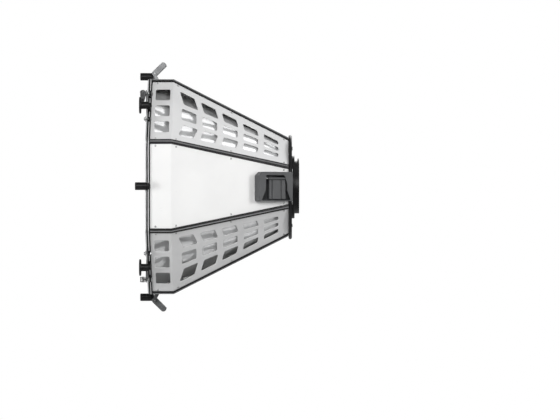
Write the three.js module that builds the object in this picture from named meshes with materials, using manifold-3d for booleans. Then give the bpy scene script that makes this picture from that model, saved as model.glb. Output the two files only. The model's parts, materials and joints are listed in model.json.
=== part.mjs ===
// Octagonal beam hood for a large studio lamp: eight sheet panels on corner profiles around a bright dish,
// a front rim that clamps a lens, posts and levers around the rim, two release latches and a bayonet ring.
// Millimetres. +Z is up. The optical axis is X: light leaves towards -X, and X = 0 is the mounting face.
import * as THREE from 'three';
import { mergeVertices } from 'three/addons/utils/BufferGeometryUtils.js';
import { ConvexGeometry } from 'three/addons/geometries/ConvexGeometry.js';
import Module from 'manifold-3d';

const wasm = await Module();
wasm.setup();

// ---- driving dimensions ----
const SIDES = 8;
const GAP = 0.3;                    // air left between pieces that touch

const HOOD_APOTHEM = 317;           // outer face of the panels, front section
const REAR_APOTHEM = 144;           // outer face of the panels, rear end
const X_FRONT = -424;               // front edge of the panels
const X_BEND = -362;                // where the straight section turns into the taper
const X_REAR = -18.4;               // rear edge of the panels
const SHEET = 2;                    // panel thickness
const PANEL_CORNER = 9;             // rounding of the panels' front corners
const EDGE_INSET = 3.4;             // panel edge to the ridge where two panel planes meet

const SLOT_ROWS = 3;
const SLOT_COLUMNS = 5;             // on the taper; one more column is on the front section
const SLOT_LENGTH = 48;             // along the slope
const SLOT_PITCH = 68;
const SLOT_FIRST = 31;              // bend to the first slot
const SLOT_MARGIN = 32;             // ridge to the outer slots
const SLOT_BAR = 0.08;              // bar between rows, as a share of the panel's width
const SLOT_CORNER = 6;
const SLOT_LEAN_FRONT = 0.32;       // sideways slant of the outer slots' ends, first column
const SLOT_LEAN_REAR = 0.2;         // and last column
const FRONT_SLOT_INSET = 11;        // front edge of the panel to the front column
const FRONT_SLOT_LENGTH = 43;
const FRONT_SLOT_MARGIN = 39;

const BAND_HALF = 8;                // outer band of a corner profile, each side of the ridge
const BAND_RISE = 3;                // its height over the panels
const BEAD_RISE = 3.9;
const BEAD_HALF = 2;
const INNER_HALF = 22;              // inner flange of a corner profile
const INNER_THICK = 1.6;
const SEAM_INSET = 0.6;             // the bands start this far from the ridge, under the bead
const BEAD_ROOT = 0.4;              // the bead's web reaches this far inside the inner flange

const RIM_APOTHEM = 322;
const RIM_INNER = 294;
const X_RIM_FRONT = -434.3;
const X_RIM_BACK = -424.6;
const RIM_CORNER = 12;
const GROOVE_DEPTH = 6;
const X_GROOVE = -430.5;
const GROOVE_WIDTH = 2.9;
const LENS_SEAT = 304;              // apothem of the rebate that holds the lens
const LENS_THICK = 3;
const GASKET_THICK = 1.5;
const RETAINER_APOTHEM = 320;
const RETAINER_THICK = 3.7;

const REFLECTOR_RADIUS = 305;       // parabolic dish: outer radius at its front edge
const REFLECTOR_THICK = 1.5;
const REFLECTOR_LIP = 5;            // flat lip that seats behind the rim
const REFLECTOR_STATIONS = 8;
const X_REFLECTOR_FRONT = -424.2;
const X_REFLECTOR_VERTEX = 70;      // where the parabola would close on the axis

const X_EAR = -430.2;
const EAR_THICK = 4;
const POST_RADIUS = 11.4;
const POST_CENTRE = 334;
const X_POST_TIP = -467;
const POST_CHAMFER = 1.2;
const POST_EAR_DROP = 3;            // the ear's round end is centred this far inside the post
const DISC_POST_CENTRE = 338.5;
const DISC_POST_RADIUS = 11;
const DISC_RADIUS = 24.5;
const DISC_THICK = 5.5;
const X_DISC_TIP = -459;
const SHANK_RADIUS = 4;
const NUT_RADIUS = 7;
const NUT_THICK = 3.5;

const CLAMP_CENTRE = 332;
const CLAMP_OFFSET = 58;            // along the side, from its middle
const CLAMP_HUB = 8.4;
const CLAMP_ARM = 24;
const CLAMP_TIP = 5.5;
const CLAMP_CHEEK_GAP = 11;
const CLAMP_CHEEK = 2;
const CLAMP_PIN = 2.5;
const CLAMP_WEB_START = 7;
const X_CLAMP_PIVOT = -450.4;
const TOE_REACH = 26;
const TOE_WIDTH = 18;
const TOE_THICK = 3;
const LOWER_CLAMP_TURN = 45;        // degrees that the two lower-side clamps are left turned by

const BOLT_CENTRE = 327;
const BOLT_OFFSET = -47;
const BOLT_RADIUS = 2.5;
const BOLT_HEAD = 4.5;
const BOLT_WASHER = 8;

const LEVER_REACH = 35.7;
const LEVER_HALF_WIDTH = 8.7;
const LEVER_SHEET = 1.6;
const LEVER_GAP = 24;               // between the lever's two cheeks, which straddle the post's ear
const LEVER_ANGLE = 44.4;           // degrees above the rearward direction
const X_LEVER = -422.5;
const LEVER_HEIGHT = 343.5;
const LEVER_PIN = 2;
const LEVER_WEB_START = 9;
const BASE_CROWN = 5;               // lever base: half the width of its head, round the pivot
const X_BASE_FRONT = -424.1;
const X_BASE_BACK = -408;
const BASE_SHEET = 2;

const FLANGE_RADIUS = 158;
const FLANGE_BORE = 84;
const X_FLANGE = -18;
const FLANGE_THICK = 10;
const FLANGE_EDGE = 5;
const FLANGE_CHAMFER = 4;
const MOUNT_RADIUS = 95;
const MOUNT_BORE = 74;
const BARREL_RADIUS = 80;
const BARREL_LENGTH = 14;
const LUG_RADIUS = 87;
const LUGS = 3;
const LUG_SPAN = 36;                // degrees
const LUG_THICK = 4;
const LUG_BACK = 1;                 // lug's rear face to the end of the barrel

const BOX_LENGTH = 112;             // latch housing, along the slope
const BOX_HEIGHT = 87;
const BOX_RISE = 30;
const BOX_WALL = 3;
const BOX_START = 272;              // bend to the housing's front wall, along the slope
const BOX_CORNER = [12, 11];        // the cut-off upper corner at the front
const BOX_SILL = 6;                 // the window stops this far above the panel
const FLANGE_CLEARANCE = 0.8;
const WINDOW_FRONT = 24.5;            // window in the housing: its edges, and the flare towards its foot
const WINDOW_REAR = 92.5;
const WINDOW_TOP = 33;
const WINDOW_NECK = -12;
const WINDOW_FLARE = 14;
const PADDLE_HINGE = 24;            // height of the paddle's hinge pin over the middle
const PADDLE_DEPTH = 8;             // pin to the housing's outer face
const PADDLE_PIN = 2;
const PADDLE_FRONT = 34.5;
const PADDLE_REAR = 91;
const PADDLE_FOOT = -36;
const PADDLE_TOP = 20;
const PADDLE_SHEET = 4;
const PADDLE_BARREL = 4.5;
const PADDLE_RIB = 5;
const PADDLE_RIBS = [[36, 49.2], [52.8, 79], [82.4, 90]];
const PADDLE_TAIL = [30, 5, 14];
const BOSS = [5, 12];
const BOSS_SETBACK = 4;             // from the window's edge to the middle of a boss

// ---- values worked out from them ----
const HALF_STEP = Math.PI / SIDES;
const SIDE_TAN = Math.tan(HALF_STEP);
const TAPER = Math.atan2(HOOD_APOTHEM - REAR_APOTHEM, X_FLANGE - X_BEND);
const SLOPE_LENGTH = (X_REAR - X_BEND) / Math.cos(TAPER);
const SIDE_NAMES = ['top', 'upper_near', 'near', 'lower_near', 'bottom', 'lower_far', 'far', 'upper_far'];
const SQUARE_SIDES = [0, 2, 4, 6];
const SLOTTED_SIDES = [1, 3, 5, 7];
const LOWER_SIDES = [3, 5];

const group = new THREE.Group();

// ---- materials ----
const paint = (color, roughness, metalness = 0) => () =>
  new THREE.MeshStandardMaterial({ color, roughness, metalness });
const whitePaint = paint(0xeeeeec, 0.45);
const blackMetal = paint(0x1b1c1e, 0.45, 0.3);
const silverMetal = paint(0xa9abad, 0.35, 0.9);
const brightAluminium = paint(0xd5d7d9, 0.15, 1);
const steel = paint(0x8b8d90, 0.4, 0.9);
const greyPlastic = paint(0x4b4d50, 0.6);
const rubber = paint(0x161616, 0.9);
const acrylic = paint(0xdde6ea, 0.1);

// ---- solids ----
function toManifold(geometry) {
  const bare = geometry.clone();
  bare.deleteAttribute('normal');
  bare.deleteAttribute('uv');
  const merged = mergeVertices(bare, 1e-4);
  return new wasm.Manifold(new wasm.Mesh({
    numProp: 3,
    vertProperties: new Float32Array(merged.attributes.position.array),
    triVerts: new Uint32Array(merged.index.array),
  }));
}

function toGeometry(manifold) {
  const mesh = manifold.getMesh();
  const geometry = new THREE.BufferGeometry();
  geometry.setAttribute('position', new THREE.BufferAttribute(new Float32Array(mesh.vertProperties), 3));
  geometry.setIndex(new THREE.BufferAttribute(new Uint32Array(mesh.triVerts), 1));
  geometry.computeVertexNormals();
  return geometry;
}

function fuse(...parts) {
  return toGeometry(parts.map(toManifold).reduce((sum, next) => sum.add(next)));
}

function cut(base, ...tools) {
  return toGeometry(tools.map(toManifold).reduce((rest, tool) => rest.subtract(tool), toManifold(base)));
}

function common(a, b) {
  return toGeometry(toManifold(a).intersect(toManifold(b)));
}

function mirrorY(geometry) {
  const flipped = geometry.clone();
  flipped.scale(1, -1, 1);
  const index = flipped.index.array;
  for (let i = 0; i < index.length; i += 3) {
    const second = index[i + 1];
    index[i + 1] = index[i + 2];
    index[i + 2] = second;
  }
  flipped.computeVertexNormals();
  return flipped;
}

// A closed outline through the points, with each corner rounded by the radius.
function rounded(points, radius, Kind = THREE.Shape) {
  const path = new Kind();
  const count = points.length;
  points.forEach(([x, y], i) => {
    const corner = new THREE.Vector2(x, y);
    const before = new THREE.Vector2(...points[(i + count - 1) % count]).sub(corner);
    const after = new THREE.Vector2(...points[(i + 1) % count]).sub(corner);
    const size = Array.isArray(radius) ? radius[i] : radius;
    const half = before.angleTo(after) / 2;
    const reach = Math.min(size / Math.tan(half), before.length() * 0.48, after.length() * 0.48);
    const start = corner.clone().add(before.setLength(reach));
    const end = corner.clone().add(after.setLength(reach));
    if (i === 0) {
      path.moveTo(start.x, start.y);
    } else {
      path.lineTo(start.x, start.y);
    }
    if (size > 0) {
      path.quadraticCurveTo(x, y, end.x, end.y);
    }
  });
  path.closePath();
  return path;
}

function extrude(shape, depth, curveSegments = 3) {
  return new THREE.ExtrudeGeometry(shape, { depth, bevelEnabled: false, curveSegments });
}

// Shape coordinates become (Y, Z), and the depth runs along X from x.
function extrudeX(shape, x, depth, curveSegments = 3) {
  const basis = new THREE.Matrix4().makeBasis(
    new THREE.Vector3(0, 1, 0), new THREE.Vector3(0, 0, 1), new THREE.Vector3(1, 0, 0));
  return extrude(shape, depth, curveSegments).applyMatrix4(basis).translate(x, 0, 0);
}

// Shape coordinates become (X, Z), and the depth is centred on Y = y.
function extrudeY(shape, y, depth, curveSegments = 3) {
  return extrude(shape, depth, curveSegments).rotateX(Math.PI / 2).translate(0, y + depth / 2, 0);
}

// A turned piece on an axis along X: the profile is a list of [x, radius].
function turned(profile, segments) {
  const points = profile.map(([x, r]) => new THREE.Vector2(r, x));
  return new THREE.LatheGeometry(points, segments).rotateZ(-Math.PI / 2);
}

function rodX(radius, x0, x1, segments = 12) {
  return turned([[x0, 0], [x0, radius], [x1, radius], [x1, 0]], segments);
}

function rodAlong(axis, radius, length, segments = 12) {
  const rod = new THREE.CylinderGeometry(radius, radius, length, segments);
  return axis === 'z' ? rod.rotateX(Math.PI / 2) : rod;
}

function polygonPoints(apothem) {
  const reach = apothem / Math.cos(HALF_STEP);
  return Array.from({ length: SIDES }, (_, i) => {
    const angle = HALF_STEP + i * 2 * HALF_STEP;
    return [reach * Math.cos(angle), reach * Math.sin(angle)];
  });
}

function octagonPlate(apothem, corner, x, depth) {
  return extrudeX(rounded(polygonPoints(apothem), corner), x, depth);
}

// ---- placing ----
function add(parent, name, geometry, material) {
  const mesh = new THREE.Mesh(geometry, material());
  mesh.name = name;
  parent.add(mesh);
  return mesh;
}

// A side's own frame: X as usual, Y along the side, Z straight out. Side 0 is the top.
const sideFrames = SIDE_NAMES.map((name, k) => {
  const frame = new THREE.Group();
  frame.rotation.x = k * 2 * HALF_STEP;
  group.add(frame);
  return frame;
});
// +1 where the side's Y axis runs towards the top or bottom panel, -1 where it runs away from it.
const outwardSign = (k) => (k % 4 === 1 ? 1 : -1);

// ---- panels ----
const halfWidthAt = (apothem) => apothem * SIDE_TAN - EDGE_INSET;
const toSlope = new THREE.Matrix4().makeTranslation(X_BEND, 0, HOOD_APOTHEM)
  .multiply(new THREE.Matrix4().makeRotationY(TAPER));

function rowEdges(width, margin, row) {
  const bar = SLOT_BAR * width;
  const slot = (width - 2 * margin - (SLOT_ROWS - 1) * bar) / SLOT_ROWS;
  const low = -width / 2 + margin + row * (slot + bar);
  return [low, low + slot];
}

// One slot on the taper: a four-sided hole whose long edges follow the panel's convergence.
function slopeSlot(column, row) {
  const lean = SLOT_LEAN_FRONT + (SLOT_LEAN_REAR - SLOT_LEAN_FRONT) * column / (SLOT_COLUMNS - 1);
  const start = SLOT_FIRST + column * SLOT_PITCH;
  const middle = (SLOT_ROWS - 1) / 2;
  const corner = (s, edge) => {
    const widthAt = (distance) => 2 * SIDE_TAN * (HOOD_APOTHEM - distance * Math.sin(TAPER));
    const [low, high] = rowEdges(widthAt(s), SLOT_MARGIN, row);
    const isOuter = (row < middle && edge === 0) || (row > middle && edge === 1);
    const shift = row === middle ? 0 : (high - low) * lean * (isOuter ? -0.6 : 0.4);
    const [lowAfter, highAfter] = rowEdges(widthAt(s + shift), SLOT_MARGIN, row);
    return [s + shift, edge === 0 ? lowAfter : highAfter];
  };
  const end = start + SLOT_LENGTH;
  return rounded([corner(start, 0), corner(end, 0), corner(end, 1), corner(start, 1)],
    SLOT_CORNER, THREE.Path);
}

function frontSlot(row) {
  const [low, high] = rowEdges(2 * SIDE_TAN * HOOD_APOTHEM, FRONT_SLOT_MARGIN, row);
  const x0 = X_FRONT + FRONT_SLOT_INSET;
  const x1 = x0 + FRONT_SLOT_LENGTH;
  return rounded([[x0, low], [x1, low], [x1, high], [x0, high]], SLOT_CORNER, THREE.Path);
}

function panel(slotted) {
  const wide = halfWidthAt(HOOD_APOTHEM);
  const narrow = halfWidthAt(HOOD_APOTHEM - SLOPE_LENGTH * Math.sin(TAPER));
  const straight = rounded([[X_FRONT, -wide], [X_BEND, -wide], [X_BEND, wide], [X_FRONT, wide]],
    [PANEL_CORNER, 0, 0, PANEL_CORNER]);
  const slope = rounded([[0, -wide], [SLOPE_LENGTH, -narrow], [SLOPE_LENGTH, narrow], [0, wide]], 0);
  if (slotted) {
    for (let row = 0; row < SLOT_ROWS; row += 1) {
      straight.holes.push(frontSlot(row));
      for (let column = 0; column < SLOT_COLUMNS; column += 1) {
        slope.holes.push(slopeSlot(column, row));
      }
    }
  }
  const front = extrude(straight, SHEET, 2).translate(0, 0, HOOD_APOTHEM - SHEET);
  const rear = extrude(slope, SHEET, 2).translate(0, 0, -SHEET).applyMatrix4(toSlope);
  return fuse(front, rear);
}

const plainPanel = panel(false);
const slottedPanel = panel(true);
for (const k of SQUARE_SIDES) {
  add(sideFrames[k], `panel_${SIDE_NAMES[k]}`, plainPanel, whitePaint);
}
for (const k of SLOTTED_SIDES) {
  add(sideFrames[k], `slotted_panel_${SIDE_NAMES[k]}`, slottedPanel, whitePaint);
}

// ---- corner profiles ----
// A point over the side's outer face: station 0 is the front, 1 the bend and 2 the rear end; rise is the
// height over the face and inset the distance from the ridge, on the side of the ridge given by sign.
function ridgePoint(station, rise, inset, sign) {
  const bend = X_BEND + rise * Math.tan(TAPER / 2);
  const x = [X_FRONT, bend, X_REAR][station];
  const r = station < 2
    ? HOOD_APOTHEM + rise
    : HOOD_APOTHEM - (x - X_BEND) * Math.tan(TAPER) + rise / Math.cos(TAPER);
  const point = new THREE.Vector3(x, sign * (r * SIDE_TAN - inset), r);
  return point.applyAxisAngle(new THREE.Vector3(1, 0, 0), sign * HALF_STEP);
}

// One length of strip beside the ridge, or across it when both signs are given.
function ridgeStrip(station, rises, insets, signs) {
  const points = [];
  for (const end of [station, station + 1]) {
    for (const rise of rises) {
      for (const sign of signs) {
        insets.forEach((inset) => points.push(ridgePoint(end, rise, inset, sign)));
      }
    }
  }
  return new ConvexGeometry(points);
}

// The profile stands on +Z here: its ridge lies half a step on from each of its two sides.
function cornerProfile() {
  const floor = -SHEET - GAP - INNER_THICK;
  const strips = [0, 1].flatMap((station) => [
    ridgeStrip(station, [GAP, BAND_RISE], [SEAM_INSET, BAND_HALF], [1]),
    ridgeStrip(station, [GAP, BAND_RISE], [SEAM_INSET, BAND_HALF], [-1]),
    ridgeStrip(station, [floor, -SHEET - GAP], [SEAM_INSET, INNER_HALF], [1]),
    ridgeStrip(station, [floor, -SHEET - GAP], [SEAM_INSET, INNER_HALF], [-1]),
    ridgeStrip(station, [floor - BEAD_ROOT, BEAD_RISE], [0, BEAD_HALF], [1, -1]),
  ]);
  return fuse(...strips);
}

const profile = cornerProfile();
const CORNER_NAMES = ['top_near', 'near_upper', 'near_lower', 'bottom_near',
  'bottom_far', 'far_lower', 'far_upper', 'top_far'];
CORNER_NAMES.forEach((name, k) => {
  const frame = new THREE.Group();
  frame.rotation.x = (2 * k + 1) * HALF_STEP;
  group.add(frame);
  add(frame, `corner_profile_${name}`, profile, blackMetal);
});

// ---- rim, lens and retainer ----
function placeOnSide(geometry, k) {
  return geometry.clone().rotateX(k * 2 * HALF_STEP);
}

// A round-ended tab that grows out of the rim to a centre at (y, z) in a side's frame.
function ear(y, z, radius) {
  const root = RIM_APOTHEM - 4;
  const shape = new THREE.Shape();
  shape.moveTo(y - radius, root);
  shape.lineTo(y + radius, root);
  shape.lineTo(y + radius, z);
  shape.absarc(y, z, radius, 0, Math.PI, false);
  shape.closePath();
  return extrudeX(shape, X_EAR, EAR_THICK, 4);
}

// Each ear: [y, height of its round end, height of its hole, its radius, the hole's radius].
function earsOf(k) {
  if (SQUARE_SIDES.includes(k)) {
    return [[0, POST_CENTRE - POST_EAR_DROP, POST_CENTRE, 10, SHANK_RADIUS]];
  }
  return [
    [0, DISC_POST_CENTRE - POST_EAR_DROP, DISC_POST_CENTRE, 9.5, SHANK_RADIUS],
    [outwardSign(k) * CLAMP_OFFSET, CLAMP_CENTRE, CLAMP_CENTRE, 9, SHANK_RADIUS],
    [outwardSign(k) * BOLT_OFFSET, BOLT_CENTRE, BOLT_CENTRE, 6, BOLT_RADIUS],
  ];
}

function rim() {
  const depth = X_RIM_BACK - X_RIM_FRONT;
  const tabs = [];
  const holes = [];
  SIDE_NAMES.forEach((name, k) => {
    for (const [y, tabHeight, holeHeight, radius, holeRadius] of earsOf(k)) {
      tabs.push(placeOnSide(ear(y, tabHeight, radius), k));
      const drill = rodX(holeRadius + 1.5 * GAP, X_EAR - 2, X_EAR + EAR_THICK + 2, 8);
      holes.push(placeOnSide(drill.translate(0, y, holeHeight), k));
    }
  });
  const ring = cut(
    octagonPlate(RIM_APOTHEM, RIM_CORNER, X_RIM_FRONT, depth),
    octagonPlate(RIM_INNER, 0, X_RIM_FRONT - 1, depth + 2),
    octagonPlate(LENS_SEAT, 0, X_RIM_FRONT - 1, 1 + LENS_THICK + GASKET_THICK + 3 * GAP),
    cut(
      octagonPlate(RIM_APOTHEM + 20, 0, X_GROOVE, GROOVE_WIDTH),
      octagonPlate(RIM_APOTHEM - GROOVE_DEPTH, RIM_CORNER - 3, X_GROOVE - 1, GROOVE_WIDTH + 2),
    ),
  );
  return cut(fuse(ring, ...tabs), ...holes);
}

function octagonRing(outer, inner, x, depth, corner = 0) {
  return cut(octagonPlate(outer, corner, x, depth), octagonPlate(inner, 0, x - 1, depth + 2));
}

const xLens = X_RIM_FRONT + GAP;
const xGasket = xLens + LENS_THICK + GAP;
const xRetainer = X_RIM_FRONT - GAP - RETAINER_THICK;
const lens = octagonPlate(LENS_SEAT - 1, 2, xLens, LENS_THICK);
const gasket = octagonRing(LENS_SEAT - 1, RIM_INNER + 2, xGasket, GASKET_THICK);
const retainer = octagonRing(RETAINER_APOTHEM, RIM_INNER, xRetainer, RETAINER_THICK, RIM_CORNER);
add(group, 'front_rim', rim(), blackMetal);
add(group, 'fresnel_lens', lens, acrylic);
add(group, 'lens_gasket', gasket, rubber);
add(group, 'lens_retainer', retainer, silverMetal);

// ---- reflector ----
// A parabolic dish inside the panels, open at the rear for the lamp's light.
function reflector() {
  const depth = X_REFLECTOR_VERTEX - X_REFLECTOR_FRONT;
  const radiusAt = (x) => REFLECTOR_RADIUS * Math.sqrt((X_REFLECTOR_VERTEX - x) / depth);
  const stations = Array.from({ length: REFLECTOR_STATIONS + 1 },
    (_, i) => X_REFLECTOR_FRONT + (X_REAR - X_REFLECTOR_FRONT) * i / REFLECTOR_STATIONS);
  const outer = stations.map((x) => [x, radiusAt(x)]);
  const inner = outer.map(([x, r]) => [x, r - REFLECTOR_THICK]);
  const lipRadius = REFLECTOR_RADIUS + REFLECTOR_LIP;
  const lip = [[X_REFLECTOR_FRONT, lipRadius], [X_REFLECTOR_FRONT + REFLECTOR_THICK, lipRadius],
    [X_REFLECTOR_FRONT + REFLECTOR_THICK, radiusAt(X_REFLECTOR_FRONT + REFLECTOR_THICK)]];
  return turned([inner[0], ...lip, ...outer.slice(1), ...inner.slice(1).reverse(), inner[0]], 48);
}

add(group, 'reflector', reflector(), brightAluminium);

// ---- posts ----
// The rod, its shank through the ear and the nut behind are one turned piece.
function postBehind(radius) {
  const back = X_EAR - GAP;
  const earBack = X_EAR + EAR_THICK + GAP;
  return [[back, radius], [back, SHANK_RADIUS], [earBack, SHANK_RADIUS], [earBack, NUT_RADIUS],
    [earBack + NUT_THICK, NUT_RADIUS], [earBack + NUT_THICK, 0]];
}

function plainPost() {
  return turned([
    [X_POST_TIP, 0], [X_POST_TIP, POST_RADIUS - POST_CHAMFER], [X_POST_TIP + POST_CHAMFER, POST_RADIUS],
    ...postBehind(POST_RADIUS),
  ], 18);
}

function discPost() {
  const neck = X_DISC_TIP + DISC_THICK;
  return turned([
    [X_DISC_TIP, 0], [X_DISC_TIP, DISC_RADIUS - 1], [X_DISC_TIP + 1, DISC_RADIUS],
    [neck - 1, DISC_RADIUS], [neck, DISC_RADIUS - 1], [neck, DISC_POST_RADIUS],
    ...postBehind(DISC_POST_RADIUS),
  ], 20);
}

for (const k of SQUARE_SIDES) {
  add(sideFrames[k], `post_${SIDE_NAMES[k]}`, plainPost(), blackMetal).position.z = POST_CENTRE;
}
for (const k of SLOTTED_SIDES) {
  add(sideFrames[k], `disc_post_${SIDE_NAMES[k]}`, discPost(), blackMetal).position.z = DISC_POST_CENTRE;
}

// ---- levers bent from sheet: two cheeks and a web, in the plane of X and Z, pivot at the origin ----
function cheekShape(hub, reach, tip, hole) {
  const lean = Math.asin((hub - tip) / reach);
  const shape = new THREE.Shape();
  shape.absarc(0, 0, hub, Math.PI / 2 - lean, -Math.PI / 2 + lean, false);
  shape.absarc(reach, 0, tip, -Math.PI / 2 + lean, Math.PI / 2 - lean, false);
  shape.closePath();
  const bore = new THREE.Path();
  bore.absarc(0, 0, hole, 0, 2 * Math.PI, true);
  shape.holes.push(bore);
  return shape;
}

function sheetLever({ hub, reach, tip, hole, gap, wall, webStart }) {
  const shape = cheekShape(hub, reach, tip, hole);
  const lean = Math.asin((hub - tip) / reach);
  const webEnd = reach + tip * 0.7;
  const webShape = rounded([[webStart, 0], [webEnd, 0], [webEnd, wall], [webStart, wall]], 0);
  const web = extrudeY(webShape, 0, gap + wall)
    .rotateY(lean)
    .translate(hub * Math.sin(lean), 0, -hub * Math.cos(lean));
  const outline = extrudeY(shape, 0, gap + 2 * wall, 4);
  return fuse(
    extrudeY(shape, (gap + wall) / 2, wall, 4),
    extrudeY(shape, -(gap + wall) / 2, wall, 4),
    common(web, outline),
  );
}

// ---- top and bottom levers ----
function latchBase() {
  const outer = LEVER_GAP / 2 + LEVER_SHEET + 1;
  const foot = HOOD_APOTHEM + GAP;
  const front = X_BASE_FRONT;
  const back = X_BASE_BACK;
  const crown = LEVER_HEIGHT + BASE_CROWN;
  const headFront = X_LEVER - BASE_CROWN;
  const headBack = X_LEVER + BASE_CROWN;
  const cheek = rounded(
    [[front, foot], [back, foot], [back, foot + 2.5], [headBack, LEVER_HEIGHT - BASE_CROWN],
      [headBack, crown], [headFront, crown], [headFront, LEVER_HEIGHT - BASE_CROWN], [front, foot + 12]],
    [0, 0, 1, 6, 4.5, 4.5, 3, 3]);
  const bore = new THREE.Path();
  bore.absarc(X_LEVER, LEVER_HEIGHT, LEVER_PIN + GAP, 0, 2 * Math.PI, true);
  cheek.holes.push(bore);
  const plate = rounded(
    [[front, foot], [back, foot], [back, foot + BASE_SHEET], [front, foot + BASE_SHEET]], 0);
  return fuse(
    extrudeY(cheek, outer + BASE_SHEET / 2, BASE_SHEET),
    extrudeY(cheek, -outer - BASE_SHEET / 2, BASE_SHEET),
    extrudeY(plate, 0, 2 * outer + 1),
  );
}

for (const k of [0, 4]) {
  const pivot = new THREE.Group();
  pivot.position.set(X_LEVER, 0, LEVER_HEIGHT);
  sideFrames[k].add(pivot);
  const lever = add(pivot, `latch_lever_${SIDE_NAMES[k]}`, sheetLever({
    hub: LEVER_HALF_WIDTH, reach: LEVER_REACH, tip: LEVER_HALF_WIDTH - 0.01, hole: LEVER_PIN + GAP,
    gap: LEVER_GAP, wall: LEVER_SHEET, webStart: LEVER_WEB_START,
  }), silverMetal);
  lever.rotation.y = -THREE.MathUtils.degToRad(LEVER_ANGLE);
  const pinLength = LEVER_GAP + 2 * LEVER_SHEET + 8;
  add(pivot, `latch_pin_${SIDE_NAMES[k]}`, rodAlong('y', LEVER_PIN, pinLength), steel);
  add(sideFrames[k], `latch_base_${SIDE_NAMES[k]}`, latchBase(), silverMetal);
}

// ---- clamps on the slotted sides ----
// Frame: X as usual, Y towards the post in the middle of the side, Z out of the hood, origin on the stud.
function clampStud() {
  const earBack = X_EAR + EAR_THICK + GAP;
  const rod = rodX(SHANK_RADIUS, X_CLAMP_PIVOT - 3, earBack + NUT_THICK + 2);
  const nut = rodX(NUT_RADIUS - 0.5, earBack, earBack + NUT_THICK + 1, 6);
  const collar = rodX(NUT_RADIUS, X_EAR - GAP - 5.3, X_EAR - GAP);
  const crossPin = rodAlong('z', CLAMP_PIN, CLAMP_CHEEK_GAP + 3 * CLAMP_CHEEK)
    .translate(X_CLAMP_PIVOT, 0, 0);
  return fuse(rod, nut, collar, crossPin);
}

function clampToe() {
  const xToe = xRetainer - GAP - TOE_THICK;
  const half = TOE_WIDTH / 2;
  const outline = rounded(
    [[-half, -TOE_REACH], [half, -TOE_REACH], [half, half], [-half, half]], [3, 3, 8, 8]);
  return cut(extrudeX(outline, xToe, TOE_THICK), rodX(SHANK_RADIUS + GAP, xToe - 2, xToe + TOE_THICK + 2));
}

function clampLever() {
  const lever = sheetLever({
    hub: CLAMP_HUB, reach: CLAMP_ARM, tip: CLAMP_TIP, hole: CLAMP_PIN + GAP,
    gap: CLAMP_CHEEK_GAP, wall: CLAMP_CHEEK, webStart: CLAMP_WEB_START,
  });
  // The lever's plane turns from X-Z to X-Y, so that its arm lies along the side.
  const basis = new THREE.Matrix4().makeBasis(
    new THREE.Vector3(0, 1, 0), new THREE.Vector3(0, 0, 1), new THREE.Vector3(1, 0, 0));
  return lever.applyMatrix4(basis);
}

for (const k of SLOTTED_SIDES) {
  const name = SIDE_NAMES[k];
  const turn = LOWER_SIDES.includes(k) ? -outwardSign(k) * THREE.MathUtils.degToRad(LOWER_CLAMP_TURN) : 0;
  const stud = new THREE.Group();
  stud.position.set(0, outwardSign(k) * CLAMP_OFFSET, CLAMP_CENTRE);
  stud.rotation.x = turn;
  sideFrames[k].add(stud);
  add(stud, `clamp_stud_${name}`, clampStud(), steel);
  add(stud, `clamp_toe_${name}`, clampToe(), silverMetal);
  const lever = outwardSign(k) > 0 ? mirrorY(clampLever()) : clampLever();
  add(stud, `clamp_lever_${name}`, lever, silverMetal).position.x = X_CLAMP_PIVOT;
}

// ---- bolts that hold the retainer's edge to the rim ----
function rimBolt() {
  const front = xRetainer - GAP;
  const earBack = X_EAR + EAR_THICK + GAP;
  return turned([
    [front - 5.5, 0], [front - 5.5, BOLT_HEAD - 1.3], [front - 4.5, BOLT_HEAD], [front - 1.5, BOLT_HEAD],
    [front - 1.5, BOLT_WASHER], [front, BOLT_WASHER], [front, BOLT_RADIUS], [earBack, BOLT_RADIUS],
    [earBack, BOLT_HEAD], [earBack + 4, BOLT_HEAD], [earBack + 4, 0],
  ], 10);
}

for (const k of SLOTTED_SIDES) {
  const bolt = add(sideFrames[k], `rim_bolt_${SIDE_NAMES[k]}`, rimBolt(), steel);
  bolt.position.set(0, outwardSign(k) * BOLT_OFFSET, BOLT_CENTRE);
}

// ---- rear flange and bayonet ring ----
function rearFlange() {
  const back = X_FLANGE + FLANGE_THICK;
  const edge = (FLANGE_THICK - FLANGE_EDGE) / 2;
  return turned([
    [X_FLANGE, FLANGE_BORE], [X_FLANGE, FLANGE_RADIUS - FLANGE_CHAMFER], [X_FLANGE + edge, FLANGE_RADIUS],
    [back - edge, FLANGE_RADIUS], [back, FLANGE_RADIUS - FLANGE_CHAMFER], [back, FLANGE_BORE],
    [X_FLANGE, FLANGE_BORE],
  ], 48);
}

function lug() {
  const span = THREE.MathUtils.degToRad(LUG_SPAN);
  const shape = new THREE.Shape();
  shape.absarc(0, 0, LUG_RADIUS, -span / 2, span / 2, false);
  shape.absarc(0, 0, BARREL_RADIUS - 2, span / 2, -span / 2, true);
  shape.closePath();
  return extrudeX(shape, BARREL_LENGTH - LUG_BACK - LUG_THICK, LUG_THICK);
}

function mountRing() {
  const seat = X_FLANGE + FLANGE_THICK + GAP;
  const body = turned([
    [X_FLANGE - 4, MOUNT_BORE], [X_FLANGE - 4, FLANGE_BORE - GAP], [seat, FLANGE_BORE - GAP],
    [seat, MOUNT_RADIUS], [0, MOUNT_RADIUS], [0, BARREL_RADIUS], [BARREL_LENGTH, BARREL_RADIUS],
    [BARREL_LENGTH, MOUNT_BORE], [X_FLANGE - 4, MOUNT_BORE],
  ], 36);
  const lugs = Array.from({ length: LUGS }, (_, i) => lug().rotateX(Math.PI / 2 + i * 2 * Math.PI / LUGS));
  return fuse(body, ...lugs);
}

add(group, 'rear_flange', rearFlange(), blackMetal);
add(group, 'mount_ring', mountRing(), blackMetal);

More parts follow.
